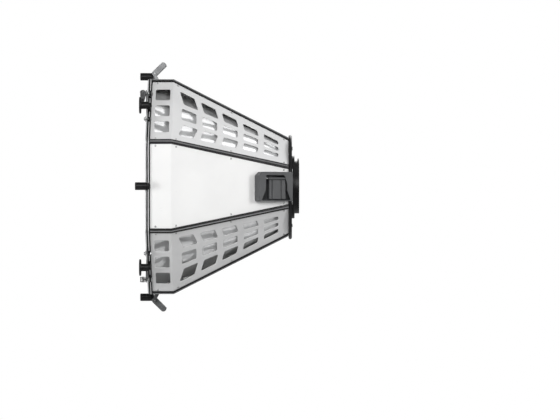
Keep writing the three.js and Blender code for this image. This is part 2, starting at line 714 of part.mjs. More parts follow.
// ---- release latches on the near and far panels ----
// Frame: x down the slope from the housing's front wall, y along the panel (up), z out of the panel.
const boxOrigin = new THREE.Matrix4().makeTranslation(BOX_START, 0, GAP);
const boxToSide = toSlope.clone().multiply(boxOrigin);
const X_PIN_FRONT = WINDOW_FRONT - BOSS_SETBACK - BOSS[0] / 2 - 0.5;
const X_PIN_REAR = WINDOW_REAR + BOSS_SETBACK + BOSS[0] / 2 + 0.5;

function housingOutline(inset) {
  const [long, short] = BOX_CORNER;
  const x0 = inset;
  const x1 = BOX_LENGTH - inset;
  const h = BOX_HEIGHT / 2 - inset;
  const outline = new THREE.Shape();
  outline.moveTo(x0, -h);
  outline.lineTo(x1, -h);
  outline.lineTo(x1, h);
  outline.lineTo(x0 + long, h);
  outline.lineTo(x0, h - short);
  outline.closePath();
  return outline;
}

// A bell-shaped window: near-upright sides that flare towards the foot, and a round upper corner at the rear.
function windowOutline() {
  const foot = -BOX_HEIGHT / 2 - 1;
  const outline = new THREE.Shape();
  outline.moveTo(WINDOW_FRONT - 2 - WINDOW_FLARE, foot);
  outline.lineTo(WINDOW_FRONT - 2, WINDOW_NECK);
  outline.lineTo(WINDOW_FRONT, WINDOW_TOP);
  outline.lineTo(WINDOW_REAR - 11, WINDOW_TOP);
  outline.quadraticCurveTo(WINDOW_REAR - 1, WINDOW_TOP - 4, WINDOW_REAR, WINDOW_TOP - 24);
  outline.lineTo(WINDOW_REAR + 1, WINDOW_NECK);
  outline.lineTo(WINDOW_REAR - 1 + WINDOW_FLARE, foot);
  outline.closePath();
  return outline;
}

// An open-backed box with the window cut in its face, two bosses for the hinge pin, and room for the flange.
function housing() {
  const block = extrude(housingOutline(0), BOX_RISE);
  const hollow = extrude(housingOutline(BOX_WALL), BOX_RISE - BOX_WALL + 1).translate(0, 0, -1);
  const opening = extrude(windowOutline(), BOX_RISE, 6).translate(0, 0, BOX_SILL);
  const pinHeight = BOX_RISE - PADDLE_DEPTH;
  const pinHole = rodX(PADDLE_PIN + GAP, X_PIN_FRONT - GAP, X_PIN_REAR + GAP)
    .translate(0, PADDLE_HINGE, pinHeight);
  const [bossWidth, bossHeight] = BOSS;
  const bossTop = pinHeight + bossWidth;
  const bosses = [WINDOW_FRONT - BOSS_SETBACK, WINDOW_REAR + BOSS_SETBACK].map((x) => new THREE.BoxGeometry(
    bossWidth, bossHeight, bossTop).translate(x, PADDLE_HINGE, bossTop / 2));
  const shell = cut(fuse(cut(block, hollow), ...bosses), opening, pinHole).applyMatrix4(boxToSide);
  const flangeRoom = rodX(FLANGE_RADIUS + FLANGE_CLEARANCE, X_FLANGE - FLANGE_CLEARANCE,
    X_FLANGE + 3 * FLANGE_THICK, 96);
  return cut(shell, flangeRoom);
}

// The paddle hangs from its pin inside the window: a ribbed plate with a barrel along its upper edge.
function paddle() {
  const face = BOX_RISE - PADDLE_DEPTH;
  const middle = (PADDLE_FRONT + PADDLE_REAR) / 2;
  const plateShape = rounded([[PADDLE_FRONT, PADDLE_FOOT], [PADDLE_REAR, PADDLE_FOOT],
    [PADDLE_REAR - 1, PADDLE_TOP], [PADDLE_FRONT + 1, PADDLE_TOP]], 0);
  const plate = extrude(plateShape, PADDLE_SHEET).translate(0, 0, face - PADDLE_SHEET);
  const ribs = PADDLE_RIBS.map(([start, end]) => new THREE.BoxGeometry(
    end - start, PADDLE_TOP - PADDLE_FOOT - 2, PADDLE_RIB)
    .translate((start + end) / 2, (PADDLE_TOP + PADDLE_FOOT) / 2, face));
  const barrel = rodX(PADDLE_BARREL, PADDLE_FRONT - 1, PADDLE_REAR, 16).translate(0, PADDLE_HINGE, face);
  const bridge = new THREE.BoxGeometry(PADDLE_REAR - PADDLE_FRONT - 2, 2 * PADDLE_BARREL, PADDLE_SHEET)
    .translate(middle, PADDLE_HINGE - PADDLE_BARREL, face - PADDLE_SHEET / 2);
  const [tailWidth, tailThick, tailLength] = PADDLE_TAIL;
  const tail = new THREE.BoxGeometry(tailWidth, tailThick, tailLength)
    .translate(middle, PADDLE_HINGE, face - PADDLE_DEPTH);
  const bore = rodX(PADDLE_PIN + GAP, PADDLE_FRONT - 3, PADDLE_REAR + 3).translate(0, PADDLE_HINGE, face);
  return cut(fuse(plate, ...ribs, barrel, bridge, tail), bore).applyMatrix4(boxToSide);
}

function hingePin() {
  const pin = rodX(PADDLE_PIN, X_PIN_FRONT, X_PIN_REAR)
    .translate(0, PADDLE_HINGE, BOX_RISE - PADDLE_DEPTH);
  return fuse(pin.applyMatrix4(boxToSide));
}

// The near side's frame has its Y axis pointing up; the far side's latch is the mirror image.
function addLatch(k, makeHand) {
  const name = SIDE_NAMES[k];
  add(sideFrames[k], `latch_housing_${name}`, makeHand(housing()), greyPlastic);
  add(sideFrames[k], `release_paddle_${name}`, makeHand(paddle()), greyPlastic);
  add(sideFrames[k], `paddle_pin_${name}`, makeHand(hingePin()), steel);
}
addLatch(2, (geometry) => geometry);
addLatch(6, mirrorY);

export default group;
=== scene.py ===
import json
import math

import bmesh
import bpy
from mathutils import Matrix, Vector
from mathutils.geometry import tessellate_polygon


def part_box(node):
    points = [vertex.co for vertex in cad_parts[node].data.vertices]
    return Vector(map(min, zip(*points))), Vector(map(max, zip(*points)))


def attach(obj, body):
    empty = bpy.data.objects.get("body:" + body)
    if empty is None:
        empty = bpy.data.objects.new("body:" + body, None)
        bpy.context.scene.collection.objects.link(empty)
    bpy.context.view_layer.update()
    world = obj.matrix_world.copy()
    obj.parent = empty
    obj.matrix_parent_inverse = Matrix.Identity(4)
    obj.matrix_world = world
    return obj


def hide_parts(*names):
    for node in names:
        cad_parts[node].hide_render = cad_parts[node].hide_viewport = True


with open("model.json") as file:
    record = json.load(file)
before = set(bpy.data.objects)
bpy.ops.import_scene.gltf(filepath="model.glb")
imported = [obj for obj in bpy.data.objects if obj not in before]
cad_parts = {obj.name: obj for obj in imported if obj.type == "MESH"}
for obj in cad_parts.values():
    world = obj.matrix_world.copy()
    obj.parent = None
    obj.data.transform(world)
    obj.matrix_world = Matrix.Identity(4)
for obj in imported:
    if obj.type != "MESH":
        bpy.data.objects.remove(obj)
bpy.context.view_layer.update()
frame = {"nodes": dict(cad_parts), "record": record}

MM = 0.001


def span(node):
    """Lowest and highest corner of a CAD node, in millimetres."""
    low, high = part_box(node)
    return Vector(low) / MM, Vector(high) / MM


# ---- driving sizes: from the frame where it shows them, and the design's own figures elsewhere ----
SIDES = 8
HALF_STEP = math.pi / SIDES
SIDE_TAN = math.tan(HALF_STEP)
SIDE_NAMES = ["top", "upper_near", "near", "lower_near", "bottom", "lower_far", "far", "upper_far"]
CORNER_NAMES = ["top_near", "near_upper", "near_lower", "bottom_near",
                "bottom_far", "far_lower", "far_upper", "top_far"]
SQUARE_SIDES = (0, 2, 4, 6)
SLOTTED_SIDES = (1, 3, 5, 7)
LOWER_SIDES = (3, 5)
GAP = 0.3

panel_low, panel_high = span("panel_top")
X_FRONT, X_REAR, HOOD_APOTHEM = panel_low.x, panel_high.x, panel_high.z
X_BEND, REAR_APOTHEM = -362, 144
flange_low, flange_high = span("rear_flange")
X_FLANGE, FLANGE_THICK, FLANGE_RADIUS = flange_low.x, flange_high.x - flange_low.x, flange_high.z
TAPER = math.atan2(HOOD_APOTHEM - REAR_APOTHEM, X_FLANGE - X_BEND)
BEND_RADIUS = 7
SHEET = 2
PANEL_CORNER = 9
EDGE_INSET = 3.4

SLOT_ROWS, SLOT_COLUMNS = 3, 5
SLOT_LENGTH, SLOT_PITCH, SLOT_FIRST, SLOT_MARGIN = 48, 68, 31, 32
SLOT_BAR, SLOT_CORNER = 0.08, 6
SLOT_LEAN_FRONT, SLOT_LEAN_REAR = 0.32, 0.2
FRONT_SLOT_INSET, FRONT_SLOT_LENGTH, FRONT_SLOT_MARGIN = 11, 43, 39

rim_low, rim_high = span("front_rim")
X_RIM_FRONT, X_RIM_BACK = rim_low.x, rim_high.x
RIM_APOTHEM, RIM_INNER, RIM_CORNER = 322, 294, 12
X_GROOVE, GROOVE_WIDTH, GROOVE_DEPTH = -430.5, 2.9, 6
LENS_SEAT, LENS_THICK, GASKET_THICK = 304, 3, 1.5
RETAINER_APOTHEM, RETAINER_THICK = 320, 3.7
X_RETAINER = span("lens_retainer")[0].x
X_LENS = span("fresnel_lens")[0].x
X_EAR, EAR_THICK, EAR_ROOT = -430.2, 4, 4
X_EAR_BACK = X_EAR + EAR_THICK

POST_CENTRE, POST_RADIUS, POST_EAR_DROP = 334, 11.4, 3
X_POST_TIP = span("post_top")[0].x
DISC_POST_CENTRE, DISC_POST_RADIUS, DISC_RADIUS, DISC_THICK = 338.5, 11, 24.5, 5.5
X_DISC_TIP = span("disc_post_upper_near")[0].x
SHANK_RADIUS, NUT_RADIUS, NUT_THICK, POST_WASHER = 4, 7, 3.5, 1.6
X_POST_FOOT = X_EAR - GAP - POST_WASHER

CLAMP_CENTRE, CLAMP_OFFSET, LOWER_CLAMP_TURN = 332, 58, math.radians(45)
CLAMP_HUB, CLAMP_ARM, CLAMP_TIP, CLAMP_CHEEK_GAP, CLAMP_CHEEK, CLAMP_PIN = 8.4, 24, 5.5, 11, 2, 2.5
X_CLAMP_PIVOT, CLAMP_WEB_START, CLAMP_COLLAR = -450.4, 7, 5.3
TOE_REACH, TOE_WIDTH, TOE_THICK = 26, 18, 3
BOLT_CENTRE, BOLT_OFFSET, BOLT_RADIUS, BOLT_NUT_RADIUS, BOLT_NUT_THICK = 327, -47, 2.5, 4.5, 3.2

LEVER_REACH, LEVER_HALF_WIDTH, LEVER_SHEET, LEVER_GAP, LEVER_PIN = 35.7, 8.7, 1.6, 24, 2
LEVER_ANGLE, LEVER_WEB_START = math.radians(44.4), 9
X_LEVER, LEVER_HEIGHT = -422.5, 343.5
BASE_CROWN, BASE_SHEET, BASE_CLEAR, LEVER_PIN_PAST = 5, 2, 1, 4
X_BASE_FRONT, X_BASE_BACK = -424.1, -408

FLANGE_BORE, FLANGE_CHAMFER, FLANGE_EDGE = 84, 4, 5
FLANGE_RIM, FLANGE_HUB, FLANGE_STEP = 14, 8, 0.8
MOUNT_RADIUS, MOUNT_BORE, BARREL_RADIUS, BARREL_LENGTH = 95, 74, 80, 14
LUG_RADIUS, LUGS, LUG_SPAN, LUG_THICK, LUG_BACK, LUG_ROOT = 87, 3, math.radians(36), 4, 1, 2

REFLECTOR_RADIUS, REFLECTOR_THICK, REFLECTOR_LIP = 305, 1.5, 5
X_REFLECTOR_FRONT, X_REFLECTOR_VERTEX = -424.2, 70

BOX_LENGTH, BOX_HEIGHT, BOX_RISE, BOX_WALL, BOX_START = 112, 87, 30, 3, 272
BOX_CORNER_LONG, BOX_CORNER_SHORT = 12, 11
WINDOW_FRONT, WINDOW_REAR, WINDOW_TOP, WINDOW_NECK, WINDOW_FLARE = 24.5, 92.5, 33, -12, 14
PADDLE_HINGE, PADDLE_DEPTH, PADDLE_PIN = 24, 8, 2
PADDLE_FACE = BOX_RISE - PADDLE_DEPTH
PADDLE_FRONT, PADDLE_REAR, PADDLE_FOOT, PADDLE_TOP = 34.5, 91, -38.5, 20
PADDLE_SHEET, PADDLE_BARREL, PADDLE_RIB = 4, 4.5, 5
PADDLE_RIBS = ((36, 43.5), (46.5, 73.5), (76.5, 90))
BOSS_WIDTH, BOSS_HEIGHT, BOSS_SETBACK = 5, 12, 4

PANEL_SCREW_FROM_EDGE, PANEL_SCREW_FRONT, PANEL_SCREWS_ON_SLOPE = 13, 16, (15.5, 194, 369)
RETAINER_SCREW_CENTRE, RETAINER_SCREWS = 301, (-100, -34, 34, 100)
FLANGE_SCREW_CENTRE, RING_SCREW_CENTRE, RING_SCREWS = 126, 87.5, 6
# each screw's head radius, head height and socket
PANEL_SCREW, RETAINER_SCREW = (2.9, 1.7, 1.3), (2.9, 0.5, 1.4)
FLANGE_SCREW, RING_SCREW = (5, 3, 2.4), (3, 0.5, 1.5)


# ---- stage: camera, floor, light ----
def add_camera():
    """Level, 9.09 m to the side and a little below the hood's axis; 560 pixels across the frame."""
    pixels_across, focal_pixels = 560, 3000
    data = bpy.data.cameras.new("camera")
    data.sensor_width = 36
    data.lens = focal_pixels / pixels_across * data.sensor_width
    data.clip_end = 200
    camera = bpy.data.objects.new("camera", data)
    camera.location = (-0.0439, -9.09, -0.0697)
    camera.rotation_euler = (math.radians(90), 0, 0)
    bpy.context.scene.collection.objects.link(camera)
    bpy.context.scene.camera = camera


def add_area_light(name, place, target, size, power):
    data = bpy.data.lights.new(name, "AREA")
    data.shape = "DISK"
    data.size = size
    data.energy = power
    light = bpy.data.objects.new(name, data)
    light.location = place
    light.rotation_euler = (Vector(target) - Vector(place)).to_track_quat("-Z", "Y").to_euler()
    bpy.context.scene.collection.objects.link(light)


def add_world(backdrop_strength, floor_strength, ceiling_strength):
    """White to the camera; as ambient light it is dim below and bright overhead."""
    world = bpy.data.worlds.new("studio")
    bpy.context.scene.world = world
    world.use_nodes = True
    nodes, links = world.node_tree.nodes, world.node_tree.links
    nodes.clear()
    output = nodes.new("ShaderNodeOutputWorld")
    mix = nodes.new("ShaderNodeMixShader")
    ambient = nodes.new("ShaderNodeBackground")
    backdrop = nodes.new("ShaderNodeBackground")
    path = nodes.new("ShaderNodeLightPath")
    direction = nodes.new("ShaderNodeTexCoord").outputs["Generated"]
    split = nodes.new("ShaderNodeSeparateXYZ")
    links.new(direction, split.inputs[0])
    height_limits = (-0.1, 0.7)
    strength = remap(nodes, links, split.outputs["Z"], floor_strength, ceiling_strength, height_limits)
    links.new(strength, ambient.inputs["Strength"])
    backdrop.inputs["Strength"].default_value = backdrop_strength
    links.new(path.outputs["Is Camera Ray"], mix.inputs[0])
    links.new(ambient.outputs[0], mix.inputs[1])
    links.new(backdrop.outputs[0], mix.inputs[2])
    for background in (ambient, backdrop):
        background.inputs["Color"].default_value = (1, 1, 1, 1)
    links.new(mix.outputs[0], output.inputs["Surface"])


def add_floor(height, half, glow):
    """Pale paper; the glow lifts its tone to the camera alone, so it adds no light under the hood."""
    mesh = bpy.data.meshes.new("floor")
    corners = [(-half, -half, height), (half, -half, height), (half, half, height), (-half, half, height)]
    mesh.from_pydata(corners, [], [(0, 1, 2, 3)])
    floor = bpy.data.objects.new("floor", mesh)
    bpy.context.scene.collection.objects.link(floor)
    paper = surface("floor_paper", (0.7, 0.7, 0.7), (0.74, 0.74, 0.74), (0.85, 0.95), grain=40)
    nodes, links = paper.node_tree.nodes, paper.node_tree.links
    shader = nodes["Principled BSDF"]
    shader.inputs["Emission Color"].default_value = (1, 1, 1, 1)
    to_camera = nodes.new("ShaderNodeMath")
    to_camera.operation = "MULTIPLY"
    to_camera.inputs[1].default_value = glow
    links.new(nodes.new("ShaderNodeLightPath").outputs["Is Camera Ray"], to_camera.inputs[0])
    links.new(to_camera.outputs[0], shader.inputs["Emission Strength"])
    mesh.materials.append(paper)


# ---- materials: each finish is noise in the piece's own space ----
def noise(nodes, links, place, scale, detail=3.0, stretch=None):
    if stretch:
        mapping = nodes.new("ShaderNodeMapping")
        mapping.inputs["Scale"].default_value = stretch
        links.new(place, mapping.inputs["Vector"])
        place = mapping.outputs["Vector"]
    texture = nodes.new("ShaderNodeTexNoise")
    texture.inputs["Scale"].default_value = scale
    texture.inputs["Detail"].default_value = detail
    links.new(place, texture.inputs["Vector"])
    return texture.outputs["Fac"]


def ramp(nodes, links, value, low, high, stops=(0.35, 0.65)):
    node = nodes.new("ShaderNodeValToRGB")
    for element, stop, colour in zip(node.color_ramp.elements, stops, (low, high)):
        element.position = stop
        element.color = (*colour, 1)
    links.new(value, node.inputs["Fac"])
    return node.outputs["Color"]


def remap(nodes, links, value, low, high, source=(0, 1)):
    node = nodes.new("ShaderNodeMapRange")
    for name, limit in zip(("From Min", "From Max", "To Min", "To Max"), (*source, low, high)):
        node.inputs[name].default_value = limit
    links.new(value, node.inputs["Value"])
    return node.outputs["Result"]


def mixed(nodes, links, factor, first, second):
    node = nodes.new("ShaderNodeMix")
    node.data_type = "RGBA"
    links.new(factor, node.inputs["Factor"])
    for socket, value in ((node.inputs["A"], first), (node.inputs["B"], second)):
        if isinstance(value, tuple):
            socket.default_value = (*value, 1)
        else:
            links.new(value, socket)
    return node.outputs["Result"]


def surface(name, low, high, rough, metallic=0.0, cloud=9, grain=900, grain_height=0.00005,
            stretch=None, scuff=None, scuff_stops=(0.7, 0.82), specular=0.5):
    """Cloudy colour between low and high, uneven gloss, a fine raised grain, and sparse scuffs or dust."""
    material = bpy.data.materials.new(name)
    material.use_nodes = True
    nodes, links = material.node_tree.nodes, material.node_tree.links
    shader = nodes["Principled BSDF"]
    place = nodes.new("ShaderNodeTexCoord").outputs["Object"]
    colour = ramp(nodes, links, noise(nodes, links, place, cloud, 5), low, high)
    if scuff:
        marks = noise(nodes, links, place, 60, 6, stretch=(1, 2.5, 2.5))
        mask = ramp(nodes, links, marks, (0, 0, 0), (1, 1, 1), scuff_stops)
        colour = mixed(nodes, links, mask, colour, scuff)
    links.new(colour, shader.inputs["Base Color"])
    fine = noise(nodes, links, place, grain, 2, stretch=stretch)
    links.new(remap(nodes, links, fine, rough[0], rough[1]), shader.inputs["Roughness"])
    relief = nodes.new("ShaderNodeBump")
    relief.inputs["Strength"].default_value = 0.35
    relief.inputs["Distance"].default_value = grain_height
    links.new(fine, relief.inputs["Height"])
    links.new(relief.outputs["Normal"], shader.inputs["Normal"])
    shader.inputs["Metallic"].default_value = metallic
    shader.inputs["Specular IOR Level"].default_value = specular
    return material


def make_materials():
    white = surface("white_powder_coat", (0.78, 0.78, 0.775), (0.82, 0.82, 0.815), (0.36, 0.52),
                    grain=700, grain_height=0.00007, scuff=(0.7, 0.7, 0.69))
    # Darker copy of the white powder coat for the slotted sheets: its lower tone is painted shade, not a
    # different paint.
    painted_shade_white = surface("white_powder_coat_painted_shade", (0.6, 0.602, 0.604), (0.65, 0.652, 0.654), (0.4, 0.55), grain=700,
                   grain_height=0.00009, scuff=(0.52, 0.52, 0.52))
    black = surface("black_coated_metal", (0.006, 0.006, 0.0065), (0.011, 0.011, 0.012), (0.28, 0.42),
                    grain=1300, scuff=(0.025, 0.025, 0.026), specular=0.2)
    # The seam bead is the same black metal as the bands; its lighter grey is a painted highlight along the
    # ridge.
    painted_highlight_bead = surface("seam_bead_painted_highlight", (0.14, 0.141, 0.144), (0.2, 0.201, 0.204), (0.4, 0.55), grain=1500)
    silver = surface("brushed_metal", (0.14, 0.142, 0.145), (0.2, 0.203, 0.207), (0.36, 0.52), metallic=0.8,
                     cloud=40, grain=260, stretch=(1, 1, 12), scuff=(0.16, 0.16, 0.16),
                     scuff_stops=(0.66, 0.74))
    plate = surface("satin_aluminium", (0.58, 0.585, 0.59), (0.68, 0.685, 0.69), (0.36, 0.5), metallic=0.35,
                    cloud=30, grain=240, stretch=(14, 1, 1))
    mirror = surface("bright_spun_aluminium", (0.8, 0.805, 0.81), (0.86, 0.865, 0.87), (0.13, 0.22),
                     metallic=0.5, cloud=14, grain=500, grain_height=0.00001, stretch=(1, 0.02, 0.02))
    zinc = surface("zinc_steel", (0.32, 0.33, 0.34), (0.5, 0.5, 0.49), (0.22, 0.45), metallic=1.0, cloud=180)
    plastic = surface("grey_moulding", (0.054, 0.056, 0.059), (0.074, 0.077, 0.08), (0.42, 0.6),
                      grain=2200, grain_height=0.00008, scuff=(0.11, 0.112, 0.115), scuff_stops=(0.7, 0.84))
    rubber = surface("gasket_rubber", (0.012, 0.012, 0.012), (0.02, 0.02, 0.02), (0.7, 0.88), grain=1600)
    acrylic = surface("lens_acrylic", (0.93, 0.95, 0.96), (0.96, 0.97, 0.98), (0.03, 0.07), cloud=5,
                      grain=60, grain_height=0.00001)
    acrylic_shader = acrylic.node_tree.nodes["Principled BSDF"]
    acrylic_shader.inputs["Transmission Weight"].default_value = 1.0
    acrylic_shader.inputs["IOR"].default_value = 1.49
    return dict(white=white, painted_shade_white=painted_shade_white, black=black, painted_highlight_bead=painted_highlight_bead, silver=silver, plate=plate, mirror=mirror,
                zinc=zinc, plastic=plastic, rubber=rubber, acrylic=acrylic)


MATERIALS = make_materials()
SLOTS = dict(white="white_paint", painted_shade_white="white_paint", black="black_metal", painted_highlight_bead="black_metal",
             silver="silver_metal", plate="silver_metal", zinc="steel", mirror="bright_aluminium",
             plastic="grey_plastic", rubber="rubber", acrylic="lens_acrylic")


# ---- shapes: a shape is (points, faces), in millimetres ----
def join(*shapes):
    points, faces = [], []
    for more_points, more_faces in shapes:
        start = len(points)
        points += more_points
        faces += [tuple(i + start for i in face) for face in more_faces]
    return points, faces


def moved(shape, matrix):
    """The shape through the matrix; a mirroring matrix also turns the faces over."""
    points = [matrix @ Vector(p) for p in shape[0]]
    faces = shape[1]
    if matrix.determinant() < 0:
        faces = [tuple(reversed(face)) for face in faces]
    return points, faces


def tube(rings, closed_path=False, capped=True):
    """Quads between rings of equal length; the ends are capped unless the path closes on itself."""
    size = len(rings[0])
    points = [Vector(p) for ring in rings for p in ring]
    faces = []
    for i in range(len(rings) if closed_path else len(rings) - 1):
        a, b = i * size, (i + 1) % len(rings) * size
        for j in range(size):
            k = (j + 1) % size
            faces.append((a + j, a + k, b + k, b + j))
    if capped and not closed_path:
        faces.append(tuple(reversed(range(size))))
        faces.append(tuple(range(len(points) - size, len(points))))
    return points, faces


def hexagon_factor(angle):
    corner = math.pi / 3
    return math.cos(corner / 2) / math.cos(angle % corner - corner / 2)


def turned(profile, segments=48):
    """A body turned about X from (x, radius) or (x, radius, "hex") stations; a radius of 0 closes it."""
    points, faces, rings = [], [], []
    for station in profile:
        x, radius = station[:2]
        if radius == 0:
            rings.append([len(points)])
            points.append(Vector((x, 0, 0)))
            continue
        ring = []
        for i in range(segments):
            angle = 2 * math.pi * i / segments
            r = radius * (hexagon_factor(angle) if len(station) > 2 else 1)
            ring.append(len(points))
            points.append(Vector((x, r * math.cos(angle), r * math.sin(angle))))
        rings.append(ring)
    for first, second in zip(rings, rings[1:]):
        for i in range(segments):
            a, b = first[i % len(first)], first[(i + 1) % len(first)]
            c, d = second[(i + 1) % len(second)], second[i % len(second)]
            faces.append(tuple(dict.fromkeys((d, c, b, a))))
    return points, faces


def ring_body(profile, segments=96):
    """A turned body whose profile is a closed loop that stays off the axis."""
    points, faces = turned(profile + profile[:1], segments)
    count = len(profile) * segments
    faces = [tuple(i % count for i in face) for face in faces]
    return points[:count], faces


def rounded(corners, radius, steps=6):
    """A closed outline with each corner rounded; radius is one value or one for each corner."""
    outline = []
    for i, corner in enumerate(corners):
        here = Vector(corner)
        before = Vector(corners[i - 1]) - here
        after = Vector(corners[(i + 1) % len(corners)]) - here
        size = radius[i] if isinstance(radius, (list, tuple)) else radius
        if size == 0:
            outline.append(here)
            continue
        reach = min(size / math.tan(before.angle(after) / 2), before.length * 0.48, after.length * 0.48)
        start = here + before.normalized() * reach
        end = here + after.normalized() * reach
        for j in range(steps + 1):
            t = j / steps
            outline.append(start * (1 - t) ** 2 + here * 2 * t * (1 - t) + end * t ** 2)
    return outline


def arc(centre, radius, start, end, steps):
    angles = [start + (end - start) * i / steps for i in range(steps + 1)]
    return [Vector((centre[0] + radius * math.cos(a), centre[1] + radius * math.sin(a))) for a in angles]


def circle(centre, radius, steps=20):
    return arc(centre, radius, 0, 2 * math.pi, steps)[:-1]


def rectangle(x0, y0, x1, y1, radius):
    return rounded([(x0, y0), (x1, y0), (x1, y1), (x0, y1)], radius)


def area(outline):
    return sum(a.x * b.y - b.x * a.y for a, b in zip(outline, outline[1:] + outline[:1])) / 2


def inset(outline, distance):
    """The outline moved towards its left-hand side by the distance, corner by corner."""
    result = []
    for i, here in enumerate(outline):
        before = (here - outline[i - 1]).normalized()
        after = (outline[(i + 1) % len(outline)] - here).normalized()
        normal = Vector((-before.y - after.y, before.x + after.x)).normalized()
        lift = max(normal.dot(Vector((-after.y, after.x))), 0.5)
        result.append(here + normal * distance / lift)
    return result


def plate(outline, holes=(), low=0.0, high=1.0, soft=0.4, soft_low=None):
    """A flat plate with rounded edges between two heights; its outline and holes are lists of 2-D points."""
    soft_low = soft if soft_low is None else soft_low
    loops = [outline if area(outline) > 0 else outline[::-1]]
    loops += [hole if area(hole) < 0 else hole[::-1] for hole in holes]
    levels = []
    if soft_low:
        levels += [(low, soft_low), (low + soft_low * 0.3, soft_low * 0.3)]
    levels += [(low + soft_low, 0), (high - soft, 0)]
    if soft:
        levels += [(high - soft * 0.3, soft * 0.3), (high, soft)]
    shapes, low_loops, high_loops = [], [], []
    for loop in loops:
        rings = [[(p.x, p.y, z) for p in (inset(loop, d) if d else loop)] for z, d in levels]
        shapes.append(tube(rings, capped=False))
        low_loops.append([Vector(p) for p in rings[0]])
        high_loops.append([Vector(p) for p in rings[-1]])
    walls = join(*shapes)
    starts, count = [], 0
    for loop in loops:
        starts.append(count)
        count += len(loop) * len(levels)
    faces = walls[1]
    for loop_set, level, upward in ((low_loops, 0, False), (high_loops, len(levels) - 1, True)):
        indices = [start + level * len(loop) + i for start, loop in zip(starts, loops)
                   for i in range(len(loop))]
        for triangle in tessellate_polygon(loop_set):
            a, b, c = (walls[0][indices[i]] for i in triangle)
            rising = (b - a).cross(c - a).z > 0
            order = triangle if rising == upward else reversed(triangle)
            faces.append(tuple(indices[i] for i in order))
    return walls[0], faces


def rounded_box(low, high, soft=0.8, steps=2):
    low, high = Vector(low), Vector(high)
    bm = bmesh.new()
    bmesh.ops.create_cube(bm, size=1)
    for vertex in bm.verts:
        vertex.co = Vector((low[i] + (vertex.co[i] + 0.5) * (high[i] - low[i])) for i in range(3))
    bmesh.ops.bevel(bm, geom=bm.edges[:], offset=soft, segments=steps, profile=0.5, affect="EDGES")
    return from_bmesh(bm)


def bisect(bm, place, normal, **options):
    geometry = bm.verts[:] + bm.edges[:] + bm.faces[:]
    return bmesh.ops.bisect_plane(bm, geom=geometry, plane_co=place, plane_no=normal, **options)


def from_bmesh(bm):
    bm.verts.index_update()
    shape = [v.co.copy() for v in bm.verts], [tuple(v.index for v in f.verts) for f in bm.faces]
    bm.free()
    return shape


def to_bmesh(shape):
    bm = bmesh.new()
    vertices = [bm.verts.new(p) for p in shape[0]]
    for face in shape[1]:
        bm.faces.new([vertices[i] for i in face])
    return bm


def at(x, y, z):
    return Matrix.Translation((x, y, z))


def rotation(angle, axis):
    return Matrix.Rotation(angle, 4, axis)


# Flat plates are drawn in (x, y) with height z; these matrices stand them up.
ALONG_X = Matrix(((0, 0, 1, 0), (1, 0, 0, 0), (0, 1, 0, 0), (0, 0, 0, 1)))      # drawn in (Y, Z), rises in X
ALONG_Y = Matrix(((1, 0, 0, 0), (0, 0, -1, 0), (0, 1, 0, 0), (0, 0, 0, 1)))     # drawn in (X, Z), rises in -Y
SLOPE = at(X_BEND, 0, HOOD_APOTHEM) @ rotation(TAPER, "Y")


def side(k):
    """From a side's own frame (Y along the side, Z straight out) to the hood."""
    return rotation(k * 2 * HALF_STEP, "X")


def outward_sign(k):
    return 1 if k % 4 == 1 else -1


# ---- pieces ----
def piece(name, shape, finish, body="hood", replaces=(), sharp=35):
    """A finished mesh that rides on a body and stands for the CAD nodes that it replaces."""
    mesh = bpy.data.meshes.new(name)
    mesh.from_pydata([tuple(Vector(p) * MM) for p in shape[0]], [], shape[1])
    mesh.validate()
    mesh.shade_smooth()
    mesh.set_sharp_from_angle(angle=math.radians(sharp))
    mesh.materials.append(MATERIALS[finish])
    thing = bpy.data.objects.new(name, mesh)
    bpy.context.scene.collection.objects.link(thing)
    flat_faces = thing.modifiers.new("flat_faces", "WEIGHTED_NORMAL")
    flat_faces.keep_sharp = True
    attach(thing, body)
    if replaces:
        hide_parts(*replaces)
    return thing


def button_screw(radius, height, socket):
    """Domed head over X = 0, rising towards -X, with a hexagon socket."""
    return turned([(0, 0), (0, radius * 0.98), (-height * 0.25, radius), (-height * 0.7, radius * 0.82),
                   (-height, radius * 0.55), (-height, socket, "hex"), (-height * 0.35, socket, "hex"),
                   (-height * 0.35, 0)][::-1], 24)


def cap_screw(radius, height, socket):
    """Cylindrical head with a chamfer and a hexagon socket, rising towards -X."""
    soft = radius * 0.12
    return turned([(0, 0), (0, radius), (-height + soft, radius), (-height, radius - soft),
                   (-height, socket, "hex"), (-height * 0.45, socket, "hex"), (-height * 0.45, 0)][::-1], 24)


def threaded(x0, x1, radius, pitch=1.2, depth=0.5):
    """Stations of a threaded stretch, as a row of fine grooves."""
    turns = max(1, round(abs(x1 - x0) / pitch))
    step = (x1 - x0) / turns
    stations = []
    for i in range(turns):
        stations += [(x0 + step * (i + 0.1), radius - depth), (x0 + step * (i + 0.5), radius)]
    return stations + [(x1, radius - depth)]


def pin_shape(start, end, radius, soft=0.4, segments=24):
    """A plain pin along X with chamfered ends."""
    return turned([(start, 0), (start, radius - soft), (start + soft, radius), (end - soft, radius),
                   (end, radius - soft), (end, 0)], segments)


def hex_nut(x0, x1, radius, bore, soft=0.6):
    return ring_body([(x0, bore), (x0, radius - soft, "hex"), (x0 + soft, radius, "hex"),
                      (x1 - soft, radius, "hex"), (x1, radius - soft, "hex"), (x1, bore)], 48)


def washer(x0, x1, outer, inner):
    soft = (x1 - x0) * 0.25
    return ring_body([(x0, inner), (x0, outer - soft), (x0 + soft, outer), (x1 - soft, outer),
                      (x1, outer - soft), (x1, inner)], 48)


# ---- panels: one bent sheet each ----
STRAIGHT = X_BEND - X_FRONT
SLOPE_LENGTH = (X_REAR - X_BEND) / math.cos(TAPER)
BEND_REACH = BEND_RADIUS * TAPER / 2


